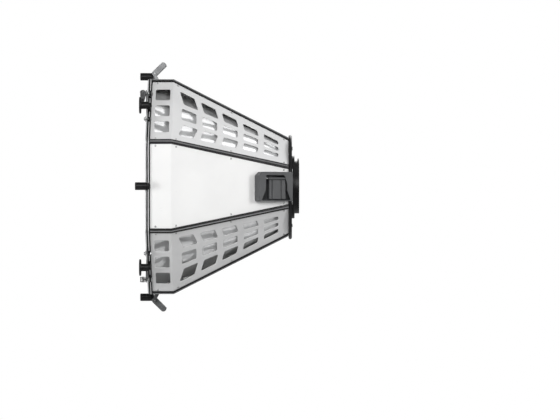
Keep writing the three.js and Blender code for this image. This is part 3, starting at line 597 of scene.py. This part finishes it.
def bent(distance, rise):
    """(x, r) of a point at this distance along the sheet and this height over its outer face."""
    into_bend = (distance - STRAIGHT + BEND_REACH) / (2 * BEND_REACH)
    if into_bend <= 0:
        return X_FRONT + distance, HOOD_APOTHEM + rise
    if into_bend >= 1:
        along = distance - STRAIGHT
        return (X_BEND + along * math.cos(TAPER) + rise * math.sin(TAPER),
                HOOD_APOTHEM - along * math.sin(TAPER) + rise * math.cos(TAPER))
    angle = TAPER * into_bend
    radius = BEND_RADIUS + rise
    return (X_BEND - BEND_REACH + radius * math.sin(angle),
            HOOD_APOTHEM - BEND_RADIUS + radius * math.cos(angle))


def half_width(distance):
    """Half the width of a panel at a distance from the bend, measured to its edge."""
    return (HOOD_APOTHEM - max(distance, 0) * math.sin(TAPER)) * SIDE_TAN - EDGE_INSET


def row_edges(width, margin, row):
    bar = SLOT_BAR * width
    slot = (width - 2 * margin - (SLOT_ROWS - 1) * bar) / SLOT_ROWS
    low = -width / 2 + margin + row * (slot + bar)
    return low, low + slot


def slope_slot(column, row):
    """Four-sided slot on the taper; the outer rows lean away from the middle one."""
    lean = SLOT_LEAN_FRONT + (SLOT_LEAN_REAR - SLOT_LEAN_FRONT) * column / (SLOT_COLUMNS - 1)
    start = SLOT_FIRST + column * SLOT_PITCH
    middle = (SLOT_ROWS - 1) / 2

    def corner(distance, edge):
        def edges(d):
            return row_edges(2 * SIDE_TAN * (HOOD_APOTHEM - d * math.sin(TAPER)), SLOT_MARGIN, row)
        low, high = edges(distance)
        outer = (row < middle and edge == 0) or (row > middle and edge == 1)
        shift = 0 if row == middle else (high - low) * lean * (-0.6 if outer else 0.4)
        return STRAIGHT + distance + shift, edges(distance + shift)[edge]

    end = start + SLOT_LENGTH
    return rounded([corner(start, 0), corner(end, 0), corner(end, 1), corner(start, 1)], SLOT_CORNER)


def front_slot(row):
    low, high = row_edges(2 * SIDE_TAN * HOOD_APOTHEM, FRONT_SLOT_MARGIN, row)
    end = FRONT_SLOT_INSET + FRONT_SLOT_LENGTH
    return rectangle(FRONT_SLOT_INSET, low, end, high, SLOT_CORNER)


def panel_shape(slotted):
    length = STRAIGHT + SLOPE_LENGTH
    wide, narrow = half_width(0), half_width(SLOPE_LENGTH)
    outline = rounded([(0, -wide), (STRAIGHT, -wide), (length, -narrow), (length, narrow),
                       (STRAIGHT, wide), (0, wide)], [PANEL_CORNER, 0, 2, 2, 0, PANEL_CORNER])
    holes = []
    if slotted:
        for row in range(SLOT_ROWS):
            holes.append(front_slot(row))
            holes += [slope_slot(column, row) for column in range(SLOT_COLUMNS)]
    bm = to_bmesh(plate(outline, holes, -SHEET, 0, soft=0.45))
    bend_steps = 4
    for i in range(bend_steps + 1):
        place = STRAIGHT - BEND_REACH + 2 * BEND_REACH * i / bend_steps
        bisect(bm, (place, 0, 0), (1, 0, 0), dist=1e-5)
    for vertex in bm.verts:
        x, r = bent(vertex.co.x, vertex.co.z)
        vertex.co = (x, vertex.co.y, r)
    return from_bmesh(bm)


def add_panels():
    plain, slotted = panel_shape(False), panel_shape(True)
    for k in SQUARE_SIDES:
        piece(f"sheet_{SIDE_NAMES[k]}", moved(plain, side(k)), "white",
              replaces=[f"panel_{SIDE_NAMES[k]}"], sharp=25)
    # The slotted sheets take the darker copy of the white paint, which paints in their shade.
    for k in SLOTTED_SIDES:
        piece(f"slotted_sheet_{SIDE_NAMES[k]}", moved(slotted, side(k)), "painted_shade_white",
              replaces=[f"slotted_panel_{SIDE_NAMES[k]}"], sharp=25)


# ---- corner profiles: two bands with a bead in the seam, painted lighter grey as a highlight, and a flange inside ----
BEAD_SECTION = [(1.9, 2.1), (1.9, 3.0), (1.6, 3.55), (1.0, 3.85), (0, 3.9)]
BAND_SECTION = [(0, 1.2), (2.3, 1.2), (2.5, 2.6), (2.9, 3.0), (7.3, 3.0), (7.8, 2.7), (8, 2.2), (8, 0.3),
                (2, 0.3), (2, -2.3), (21.6, -2.3), (22, -2.7), (22, -3.5), (21.6, -3.9), (0, -4.2)]


def ridge_rings(section):
    """The half section (inset, rise) mirrored about the ridge and swept from front to rear, ridge on +Z."""
    loop = [(i, rise, 1) for i, rise in section] + [(i, rise, -1) for i, rise in section[::-1] if i > 0]
    bend_steps = 5
    places = [("flat", X_FRONT)]
    places += [("bend", TAPER * i / bend_steps) for i in range(bend_steps + 1)]
    places += [("slope", X_REAR)]
    rings = []
    for kind, value in places:
        ring = []
        for inset_from_ridge, rise, sign in loop:
            if kind == "flat":
                x, r = value, HOOD_APOTHEM + rise
            elif kind == "bend":
                x = X_BEND - BEND_REACH + (BEND_RADIUS + rise) * math.sin(value)
                r = HOOD_APOTHEM - BEND_RADIUS + (BEND_RADIUS + rise) * math.cos(value)
            else:
                x = value
                r = HOOD_APOTHEM - (x - X_BEND) * math.tan(TAPER) + rise / math.cos(TAPER)
            point = Vector((x, sign * (r * SIDE_TAN - inset_from_ridge), r))
            ring.append(Matrix.Rotation(sign * HALF_STEP, 3, "X") @ point)
        rings.append(ring)
    return rings


def add_corner_profiles():
    band = tube(ridge_rings(BAND_SECTION))
    painted_highlight_bead = tube(ridge_rings(BEAD_SECTION[::-1] + [(0, 1.3)]))
    beads = []
    for k, name in enumerate(CORNER_NAMES):
        turn = rotation((2 * k + 1) * HALF_STEP, "X")
        piece(f"corner_extrusion_{name}", moved(band, turn), "black", replaces=[f"corner_profile_{name}"])
        beads.append(moved(painted_highlight_bead, turn))
    # The beads wear the lighter grey that paints the ridge highlight.
    piece("corner_beads", join(*beads), "painted_highlight_bead")


def add_panel_screws():
    """Four button screws along each panel edge, on both sides of every ridge."""
    from_edge = PANEL_SCREW_FROM_EDGE - EDGE_INSET
    heads = []
    for distance in (PANEL_SCREW_FRONT, *(STRAIGHT + along for along in PANEL_SCREWS_ON_SLOPE)):
        x, r = bent(distance, 0)
        tilt = 0 if distance < STRAIGHT else TAPER
        across = half_width(distance - STRAIGHT) - from_edge
        for k in range(SIDES):
            for sign in (1, -1):
                stand = side(k) @ at(x, sign * across, r) @ rotation(tilt, "Y") @ rotation(math.pi / 2, "Y")
                heads.append(moved(button_screw(*PANEL_SCREW), stand))
    piece("panel_screws", join(*heads), "zinc")


# ---- rim, lens and retainer ----
def octagon(apothem, corner, steps=8):
    reach = apothem / math.cos(HALF_STEP)
    points = [(reach * math.cos(HALF_STEP * (2 * i + 1)), reach * math.sin(HALF_STEP * (2 * i + 1)))
              for i in range(SIDES)]
    return rounded(points, corner, steps)


def octagon_sweep(section, reference, corner):
    """A closed section of (x, apothem) swept round the octagon; corners keep the reference's rounding."""
    base = octagon(reference, corner)
    rings = []
    for x, apothem in section:
        loop = inset(base, reference - apothem)
        rings.append([(x, p.x, p.y) for p in loop])
    return tube(rings, closed_path=True)


def ear_plate(y, z, radius, hole_z, hole):
    root = RIM_APOTHEM - EAR_ROOT
    outline = [Vector((y - radius, root)), Vector((y + radius, root))]
    outline += arc((y, z), radius, 0, math.pi, 14)
    bore = circle((y, hole_z), hole)
    return moved(plate(outline, [bore], X_EAR, X_EAR + EAR_THICK, soft=0.5), ALONG_X)


def ears():
    result = []
    for k in range(SIDES):
        if k in SQUARE_SIDES:
            specs = [(0, POST_CENTRE - POST_EAR_DROP, 10, POST_CENTRE, SHANK_RADIUS)]
        else:
            sign = outward_sign(k)
            specs = [(0, DISC_POST_CENTRE - POST_EAR_DROP, 9.5, DISC_POST_CENTRE, SHANK_RADIUS),
                     (sign * CLAMP_OFFSET, CLAMP_CENTRE, 9, CLAMP_CENTRE, SHANK_RADIUS),
                     (sign * BOLT_OFFSET, BOLT_CENTRE, 6, BOLT_CENTRE, BOLT_RADIUS)]
        result += [moved(ear_plate(*spec), side(k)) for spec in specs]
    return result


def add_rim():
    soft = 0.6
    groove_end = X_GROOVE + GROOVE_WIDTH
    floor = RIM_APOTHEM - GROOVE_DEPTH
    seat_back = X_LENS + LENS_THICK + 2 * GAP + GASKET_THICK
    section = [
        (X_RIM_FRONT, RIM_APOTHEM - soft), (X_RIM_FRONT + soft, RIM_APOTHEM),
        (X_GROOVE - soft / 2, RIM_APOTHEM), (X_GROOVE, RIM_APOTHEM - soft / 2), (X_GROOVE, floor),
        (groove_end, floor), (groove_end, RIM_APOTHEM - soft / 2), (groove_end + soft / 2, RIM_APOTHEM),
        (X_RIM_BACK - soft, RIM_APOTHEM), (X_RIM_BACK, RIM_APOTHEM - soft),
        (X_RIM_BACK, RIM_INNER + soft), (X_RIM_BACK - soft, RIM_INNER),
        (seat_back, RIM_INNER), (seat_back, LENS_SEAT), (X_RIM_FRONT, LENS_SEAT)]
    ring = octagon_sweep(section, RIM_APOTHEM, RIM_CORNER)
    piece("rim_extrusion", join(ring, *ears()), "black", replaces=["front_rim"])
    # A satin aluminium strip lines the groove so that it reads as a light line: painted light where the bare
    # black groove would show dark.
    groove_light_strip = octagon_sweep(
        [(X_GROOVE + 0.1, floor + 0.1), (X_GROOVE + 0.1, RIM_APOTHEM - 0.8),
         (X_GROOVE + 0.5, RIM_APOTHEM - 0.4), (groove_end - 0.5, RIM_APOTHEM - 0.4),
         (groove_end - 0.1, RIM_APOTHEM - 0.8), (groove_end - 0.1, floor + 0.1)], RIM_APOTHEM, RIM_CORNER)
    piece("rim_groove_painted_light", groove_light_strip, "plate")


def add_retainer():
    front, back = X_RETAINER, X_RETAINER + RETAINER_THICK
    soft = 0.6
    section = [(front, RETAINER_APOTHEM - soft), (front + soft, RETAINER_APOTHEM),
               (back - soft, RETAINER_APOTHEM), (back, RETAINER_APOTHEM - soft),
               (back, RIM_INNER + soft), (back - soft, RIM_INNER),
               (front + 2 * soft, RIM_INNER), (front, RIM_INNER + 2 * soft)]
    frame_shape = octagon_sweep(section, RETAINER_APOTHEM, RIM_CORNER)
    piece("retainer_frame", frame_shape, "plate", replaces=["lens_retainer"])
    heads = []
    for k in range(SIDES):
        for y in RETAINER_SCREWS:
            place = side(k) @ at(front + 0.5, y, RETAINER_SCREW_CENTRE)
            heads.append(moved(button_screw(*RETAINER_SCREW), place))
    piece("retainer_screws", join(*heads), "zinc")


def add_lens():
    """A stepped lens: fine concentric grooves on the inner face, cut to the octagon."""
    apothem = LENS_SEAT - 1
    rings, groove, depth = 78, 4.1, 0.9
    back = X_LENS + LENS_THICK
    profile = [(X_LENS, 0), (X_LENS, rings * groove)]
    for i in range(rings, 0, -1):
        step = depth * (0.25 + 0.75 * i / rings)
        profile += [(back, i * groove), (back - step, (i - 0.9) * groove)]
    profile.append((back, 0))
    bm = to_bmesh(turned(profile[::-1], 128))
    for k in range(SIDES):
        normal = side(k).to_3x3() @ Vector((0, 0, 1))
        result = bisect(bm, normal * apothem, normal, dist=1e-4, clear_outer=True)
        edges = [e for e in result["geom_cut"] if isinstance(e, bmesh.types.BMEdge)]
        bmesh.ops.contextual_create(bm, geom=edges)
    bmesh.ops.recalc_face_normals(bm, faces=bm.faces[:])
    piece("stepped_lens", from_bmesh(bm), "acrylic", replaces=["fresnel_lens"], sharp=12)


# ---- reflector ----
def add_reflector():
    depth = X_REFLECTOR_VERTEX - X_REFLECTOR_FRONT
    steps = 28

    def radius_at(x):
        return REFLECTOR_RADIUS * math.sqrt((X_REFLECTOR_VERTEX - x) / depth)

    stations = [X_REFLECTOR_FRONT + (X_REAR - X_REFLECTOR_FRONT) * i / steps for i in range(steps + 1)]
    lip = REFLECTOR_RADIUS + REFLECTOR_LIP
    lip_back = X_REFLECTOR_FRONT + REFLECTOR_THICK
    profile = [(x, radius_at(x) - REFLECTOR_THICK) for x in reversed(stations)]
    profile += [(X_REFLECTOR_FRONT, lip - 0.3), (X_REFLECTOR_FRONT + 0.3, lip), (lip_back, lip)]
    profile += [(lip_back, radius_at(lip_back))]
    profile += [(x, radius_at(x)) for x in stations[1:]]
    piece("spun_reflector", ring_body(profile, 144), "mirror", replaces=["reflector"], sharp=40)


# ---- posts ----
def post_hardware(radius):
    """Shank through the ear, with a washer in front of the ear and a nut behind it."""
    nut_front, nut_back = X_EAR_BACK + GAP, X_EAR_BACK + GAP + NUT_THICK
    shank = turned([(X_EAR - 1, 0), (X_EAR - 1, SHANK_RADIUS)]
                   + threaded(X_EAR_BACK, nut_back - 0.2, SHANK_RADIUS) + [(nut_back, 0)], 24)
    nut = hex_nut(nut_front, nut_back, NUT_RADIUS, SHANK_RADIUS - 0.6)
    foot = washer(X_POST_FOOT, X_EAR - GAP, radius, 3)
    return join(shank, nut, foot)


def plain_post():
    tip, end, r = X_POST_TIP, X_POST_FOOT, POST_RADIUS
    body = turned([(tip + 4, 0), (tip + 4, 3.4, "hex"), (tip, 3.4, "hex"), (tip, r - 1.4),
                   (tip + 0.4, r - 0.6), (tip + 1.2, r), (end - 6, r), (end - 5.6, r - 0.6),
                   (end - 4.6, r - 0.6), (end - 4.2, r), (end - 0.4, r), (end, r - 0.4), (end, 0)], 48)
    return join(body, post_hardware(r))


def disc_post():
    tip, end, r, d = X_DISC_TIP, X_POST_FOOT, DISC_POST_RADIUS, DISC_RADIUS
    neck = tip + DISC_THICK
    body = turned([(tip + 3, 0), (tip + 3, 3, "hex"), (tip + 0.6, 3, "hex"), (tip + 0.6, d * 0.62),
                   (tip, d * 0.68), (tip, d - 1.2), (tip + 0.35, d - 0.4), (tip + 1.1, d), (neck - 1.1, d),
                   (neck - 0.35, d - 0.4), (neck, d - 1.2), (neck, r + 1.4), (neck + 0.5, r + 0.3),
                   (neck + 1.6, r), (end - 0.4, r), (end, r - 0.4), (end, 0)], 60)
    return join(body, post_hardware(r))


def add_posts():
    for k in SQUARE_SIDES:
        shape = moved(plain_post(), side(k) @ at(0, 0, POST_CENTRE))
        piece(f"round_post_{SIDE_NAMES[k]}", shape, "black", replaces=[f"post_{SIDE_NAMES[k]}"])
    for k in SLOTTED_SIDES:
        shape = moved(disc_post(), side(k) @ at(0, 0, DISC_POST_CENTRE))
        piece(f"headed_post_{SIDE_NAMES[k]}", shape, "black", replaces=[f"disc_post_{SIDE_NAMES[k]}"])


# ---- levers bent from sheet ----
def sheet_lever(hub, reach, tip, hole, gap, wall, web_start):
    """Two cheeks and a web in the plane of X and Z, the pivot at the origin and the arm along +X."""
    lean = math.asin((hub - tip) / reach)
    quarter = math.pi / 2
    outline = arc((0, 0), hub, quarter - lean, 3 * quarter + lean, 20)
    outline += arc((reach, 0), tip, -quarter + lean, quarter - lean, 18)
    bore = circle((0, 0), hole)
    half = gap / 2
    inner, rolled = 0.3, wall * 0.6
    cheeks = [moved(plate(outline, [bore], half, half + wall, soft=rolled, soft_low=inner), ALONG_Y),
              moved(plate(outline, [bore], -half - wall, -half, soft=inner, soft_low=rolled), ALONG_Y)]
    web_end = reach + tip * 0.72
    web_outline = rectangle(web_start, -half - wall, web_end, half + wall, 2)
    web = moved(plate(web_outline, [], 0.02, wall, soft=0.35),
                at(hub * math.sin(lean), 0, -hub * math.cos(lean)) @ rotation(-lean, "Y"))
    return join(*cheeks, web)


def add_latch_levers():
    lever = sheet_lever(LEVER_HALF_WIDTH, LEVER_REACH, LEVER_HALF_WIDTH - 0.1, LEVER_PIN + GAP, LEVER_GAP,
                        LEVER_SHEET, LEVER_WEB_START)
    pin_half = LEVER_GAP / 2 + LEVER_SHEET + LEVER_PIN_PAST
    pin = pin_shape(-pin_half, pin_half, LEVER_PIN)
    outer = LEVER_GAP / 2 + LEVER_SHEET + BASE_CLEAR
    foot, crown, neck = HOOD_APOTHEM + GAP, LEVER_HEIGHT + BASE_CROWN, LEVER_HEIGHT - BASE_CROWN
    front, back = X_BASE_FRONT, X_BASE_BACK
    head_front, head_back = X_LEVER - BASE_CROWN, X_LEVER + BASE_CROWN
    cheek_outline = rounded([(front, foot), (back, foot), (back, foot + 2.5), (head_back, neck),
                             (head_back, crown), (head_front, crown), (head_front, neck), (front, foot + 12)],
                            [0, 0, 1, 6, 4.6, 4.6, 3, 3])
    bore = circle((X_LEVER, LEVER_HEIGHT), LEVER_PIN + GAP)
    cheeks = [moved(plate(cheek_outline, [bore], low, low + BASE_SHEET, soft=0.35), ALONG_Y)
              for low in (outer, -outer - BASE_SHEET)]
    floor_outline = rectangle(front, -outer, back, outer, 0)
    base = join(*cheeks, moved(plate(floor_outline, [], 0.02, BASE_SHEET, soft=0.3), at(0, 0, foot)))
    for k in (0, 4):
        name = SIDE_NAMES[k]
        pivot = side(k) @ at(X_LEVER, 0, LEVER_HEIGHT)
        piece(f"lever_{name}", moved(lever, pivot @ rotation(-LEVER_ANGLE, "Y")), "silver",
              body=f"latch_lever_{name}", replaces=[f"latch_lever_{name}"])
        piece(f"lever_pin_{name}", moved(pin, pivot @ rotation(math.pi / 2, "Z")), "zinc",
              replaces=[f"latch_pin_{name}"])
        piece(f"lever_base_{name}", moved(base, side(k)), "silver", replaces=[f"latch_base_{name}"])


# ---- clamps and bolts ----
def clamp_stud():
    ear_back = X_EAR_BACK + GAP
    tip, end = X_CLAMP_PIVOT - 3, ear_back + NUT_THICK + 2
    rod = turned([(tip, 0), (tip, SHANK_RADIUS - 0.8), (tip + 0.8, SHANK_RADIUS)]
                 + threaded(X_CLAMP_PIVOT + 4, end - 0.4, SHANK_RADIUS)
                 + [(end, SHANK_RADIUS - 1), (end, 0)], 24)
    nut = hex_nut(ear_back, ear_back + NUT_THICK + 1, NUT_RADIUS - 0.5, SHANK_RADIUS - 0.6)
    collar = washer(X_EAR - GAP - CLAMP_COLLAR, X_EAR - GAP, NUT_RADIUS, SHANK_RADIUS - 0.6)
    half = CLAMP_CHEEK_GAP / 2 + 1.5 * CLAMP_CHEEK
    cross_pin = pin_shape(-half, half, CLAMP_PIN)
    upright = at(X_CLAMP_PIVOT, 0, 0) @ rotation(math.pi / 2, "Y")
    return join(rod, nut, collar, moved(cross_pin, upright))


def clamp_toe():
    x = X_RETAINER - GAP - TOE_THICK
    half = TOE_WIDTH / 2
    outline = rectangle(-half, -TOE_REACH, half, half, [3, 3, 8, 8])
    bore = circle((0, 0), SHANK_RADIUS + GAP, 24)
    return moved(plate(outline, [bore], x, x + TOE_THICK, soft=0.5), ALONG_X)


def add_clamps():
    lever = moved(sheet_lever(CLAMP_HUB, CLAMP_ARM, CLAMP_TIP, CLAMP_PIN + GAP, CLAMP_CHEEK_GAP, CLAMP_CHEEK,
                              CLAMP_WEB_START), ALONG_X)
    flip = Matrix.Diagonal((1, -1, 1, 1))
    for k in SLOTTED_SIDES:
        name, sign = SIDE_NAMES[k], outward_sign(k)
        turn = -sign * LOWER_CLAMP_TURN if k in LOWER_SIDES else 0
        stud = side(k) @ at(0, sign * CLAMP_OFFSET, CLAMP_CENTRE) @ rotation(turn, "X")
        piece(f"stud_{name}", moved(clamp_stud(), stud), "zinc", body=f"clamp_{name}",
              replaces=[f"clamp_stud_{name}"])
        piece(f"toe_{name}", moved(clamp_toe(), stud), "silver", body=f"clamp_{name}",
              replaces=[f"clamp_toe_{name}"])
        hand = flip if sign > 0 else Matrix.Identity(4)
        piece(f"cam_lever_{name}", moved(lever, stud @ at(X_CLAMP_PIVOT, 0, 0) @ hand), "silver",
              body=f"clamp_lever_{name}", replaces=[f"clamp_lever_{name}"])


def add_rim_bolts():
    front = X_RETAINER - GAP
    ear_back = X_EAR_BACK + GAP
    head = turned([(front - 3, 0), (front - 3, 2.1, "hex"), (front - 5.5, 2.1, "hex"), (front - 5.5, 3.6),
                   (front - 5.1, 4.3), (front - 4.6, 4.5), (front - 1.5, 4.5), (front - 1.5, 7.6),
                   (front - 1.1, 8), (front - 0.3, 8), (front, 7.7), (front, BOLT_RADIUS)]
                  + threaded(front + 1, ear_back + 3.4, BOLT_RADIUS, 0.9, 0.3) + [(ear_back + 4, 0)], 36)
    nut = hex_nut(ear_back, ear_back + BOLT_NUT_THICK, BOLT_NUT_RADIUS, BOLT_RADIUS - 0.5, 0.4)
    for k in SLOTTED_SIDES:
        place = side(k) @ at(0, outward_sign(k) * BOLT_OFFSET, BOLT_CENTRE)
        piece(f"bolt_{SIDE_NAMES[k]}", moved(join(head, nut), place), "zinc",
              replaces=[f"rim_bolt_{SIDE_NAMES[k]}"])


# ---- rear flange and bayonet ring ----
def screw_circle(screw, count, x, centre):
    """Screws on a circle about the axis, with their heads to the rear."""
    heads = []
    for i in range(count):
        place = rotation(math.pi * (2 * i + 1) / count, "X") @ at(x, 0, centre)
        heads.append(moved(screw, place @ rotation(math.pi, "Z")))
    return join(*heads)


def add_flange():
    front, back = X_FLANGE, X_FLANGE + FLANGE_THICK
    edge = (FLANGE_THICK - FLANGE_EDGE) / 2
    r = FLANGE_RADIUS
    shoulder = r - FLANGE_CHAMFER * 0.35
    floor, outer, inner, slope = back - FLANGE_STEP, r - FLANGE_RIM, MOUNT_RADIUS + FLANGE_HUB, 1
    profile = [(front, FLANGE_BORE), (front, r - FLANGE_CHAMFER), (front + edge * 0.5, shoulder),
               (front + edge, r - 0.3), (front + edge + 0.6, r), (back - edge - 0.6, r),
               (back - edge, r - 0.3), (back - edge * 0.5, shoulder), (back, r - FLANGE_CHAMFER),
               (back, outer + slope), (floor, outer), (floor, inner), (back, inner - slope),
               (back, FLANGE_BORE)]
    piece("flange_disc", ring_body(profile, 144), "black", replaces=["rear_flange"])
    heads = screw_circle(cap_screw(*FLANGE_SCREW), SIDES, floor, FLANGE_SCREW_CENTRE)
    piece("flange_screws", heads, "zinc")


def lug():
    half, root = LUG_SPAN / 2, BARREL_RADIUS - LUG_ROOT
    outline = arc((0, 0), LUG_RADIUS, -half, half, 16) + arc((0, 0), root, half, -half, 16)
    end = BARREL_LENGTH - LUG_BACK
    return moved(plate(outline, [], end - LUG_THICK, end, soft=0.5), ALONG_X)


def add_mount_ring():
    seat = X_FLANGE + FLANGE_THICK + GAP
    front = X_FLANGE - 4
    soft = 0.8
    profile = [(front, MOUNT_BORE), (front, FLANGE_BORE - GAP - soft), (front + soft, FLANGE_BORE - GAP),
               (seat, FLANGE_BORE - GAP), (seat, MOUNT_RADIUS - soft), (seat + soft, MOUNT_RADIUS),
               (-soft, MOUNT_RADIUS), (0, MOUNT_RADIUS - soft), (0, BARREL_RADIUS + soft),
               (soft, BARREL_RADIUS), (BARREL_LENGTH - soft, BARREL_RADIUS),
               (BARREL_LENGTH, BARREL_RADIUS - soft), (BARREL_LENGTH, MOUNT_BORE + soft),
               (BARREL_LENGTH - soft, MOUNT_BORE)]
    lugs = [moved(lug(), rotation(math.pi / 2 + i * 2 * math.pi / LUGS, "X")) for i in range(LUGS)]
    piece("bayonet_ring", join(ring_body(profile, 120), *lugs), "black", replaces=["mount_ring"])
    heads = screw_circle(button_screw(*RING_SCREW), RING_SCREWS, -0.6, RING_SCREW_CENTRE)
    piece("ring_screws", heads, "zinc")


# ---- release latches ----
def housing_outline(inward):
    x0, x1, h = inward, BOX_LENGTH - inward, BOX_HEIGHT / 2 - inward
    return rounded([(x0, -h), (x1, -h), (x1, h), (x0 + BOX_CORNER_LONG, h), (x0, h - BOX_CORNER_SHORT)], 3, 4)


def window_outline():
    foot = -BOX_HEIGHT / 2 + BOX_WALL
    neck = WINDOW_NECK
    return rounded([(WINDOW_FRONT - 1 - WINDOW_FLARE, foot), (WINDOW_REAR + WINDOW_FLARE - 2, foot),
                    (WINDOW_REAR + 1, neck), (WINDOW_REAR, WINDOW_TOP - 22), (WINDOW_REAR - 8, WINDOW_TOP),
                    (WINDOW_FRONT, WINDOW_TOP), (WINDOW_FRONT - 2, neck)], [1, 1, 14, 14, 8, 2, 14], 6)


def housing_shape():
    face = plate(housing_outline(0), [window_outline()], BOX_RISE - BOX_WALL, BOX_RISE, soft=1.4, soft_low=0)
    wall = plate(housing_outline(0), [housing_outline(BOX_WALL)], 0, BOX_RISE - BOX_WALL, soft=0,
                 soft_low=0.3)
    half, tall = BOSS_WIDTH / 2, BOSS_HEIGHT / 2
    bosses = [rounded_box((x - half, PADDLE_HINGE - tall, 0.5),
                          (x + half, PADDLE_HINGE + tall, PADDLE_FACE + BOSS_WIDTH))
              for x in (WINDOW_FRONT - BOSS_SETBACK, WINDOW_REAR + BOSS_SETBACK)]
    return join(face, wall, *bosses)


def paddle_shape():
    face = PADDLE_FACE
    outline = rounded([(PADDLE_FRONT, PADDLE_FOOT), (PADDLE_REAR, PADDLE_FOOT), (PADDLE_REAR - 1, PADDLE_TOP),
                       (PADDLE_FRONT + 1, PADDLE_TOP)], 2)
    ribs = []
    for start, end in PADDLE_RIBS:
        rib = rectangle(start, PADDLE_FOOT + 1, end, PADDLE_TOP - 1, 1.5)
        ribs.append(plate(rib, [], face - 1, face + PADDLE_RIB / 2, soft=0.8, soft_low=0))
    barrel = pin_shape(PADDLE_FRONT - 1, PADDLE_REAR, PADDLE_BARREL, soft=0.6, segments=36)
    bridge = rounded_box((PADDLE_FRONT + 1, PADDLE_HINGE - 9, face - PADDLE_SHEET),
                         (PADDLE_REAR - 1, PADDLE_HINGE, face), 0.6)
    middle = (PADDLE_FRONT + PADDLE_REAR) / 2
    half_tail, half_thick, drop = 15, 2.5, 15
    tail = rounded_box((middle - half_tail, PADDLE_HINGE - half_thick, face - drop),
                       (middle + half_tail, PADDLE_HINGE + half_thick, face - 1))
    return join(plate(outline, [], face - PADDLE_SHEET, face, soft=0.8), *ribs,
                moved(barrel, at(0, PADDLE_HINGE, face)), bridge, tail)


def latch_floor():
    """Thin pad that the latch housing sits round, on the panel."""
    return plate(housing_outline(BOX_WALL + GAP), [], 0.1, 1.1, soft=0.3)


def add_latches():
    place = SLOPE @ at(BOX_START, 0, GAP)
    pin_reach = BOSS_SETBACK + BOSS_WIDTH / 2 + 0.5
    pin_front, pin_rear = WINDOW_FRONT - pin_reach, WINDOW_REAR + pin_reach
    pin = pin_shape(pin_front, pin_rear, PADDLE_PIN, soft=0.3)
    for k, hand in ((2, Matrix.Identity(4)), (6, Matrix.Diagonal((1, -1, 1, 1)))):
        name = SIDE_NAMES[k]
        to_side = side(k) @ hand @ place
        piece(f"latch_pad_{name}", moved(latch_floor(), to_side), "plastic")
        piece(f"latch_cover_{name}", moved(housing_shape(), to_side), "plastic",
              replaces=[f"latch_housing_{name}"], sharp=30)
        piece(f"paddle_{name}", moved(paddle_shape(), to_side), "plastic",
              body=f"release_paddle_{name}", replaces=[f"release_paddle_{name}"], sharp=30)
        piece(f"paddle_hinge_pin_{name}", moved(pin, to_side @ at(0, PADDLE_HINGE, PADDLE_FACE)), "zinc",
              replaces=[f"paddle_pin_{name}"])


def dress_cad_nodes():
    """Nodes that stay as they are take the first finish of their slot in the record."""
    finishes = {}
    for finish, slot in SLOTS.items():
        finishes.setdefault(slot, finish)
    for entry in frame["record"]["subparts"]:
        mesh = frame["nodes"][entry["node"]].data
        mesh.materials.clear()
        mesh.materials.append(MATERIALS[finishes[entry["material_slot"]]])


add_camera()
bpy.context.scene.view_settings.view_transform = "Standard"
add_world(backdrop_strength=1.0, floor_strength=0.07, ceiling_strength=0.28)
add_area_light("front", (-0.1, -2.8, 0.9), (-0.25, 0, 0), 1.4, 38)
add_area_light("side", (1.7, -1.3, 0.35), (-0.2, -0.2, 0), 0.7, 15)
add_area_light("opening", (-2.3, -1.7, -0.1), (-0.4, 0, 0), 1.2, 28)
add_area_light("upper_right", (1.2, -0.2, 2.1), (-0.2, -0.2, 0), 2.6, 24)
add_area_light("back", (0.5, 3.6, 1.6), (-0.2, 0, 0), 2.4, 50)
add_floor(height=-1.6, half=8, glow=0.42)

dress_cad_nodes()
add_panels()
add_corner_profiles()
add_panel_screws()
add_rim()
add_retainer()
add_lens()
add_reflector()
add_posts()
add_latch_levers()
add_clamps()
add_rim_bolts()
add_flange()
add_mount_ring()
add_latches()
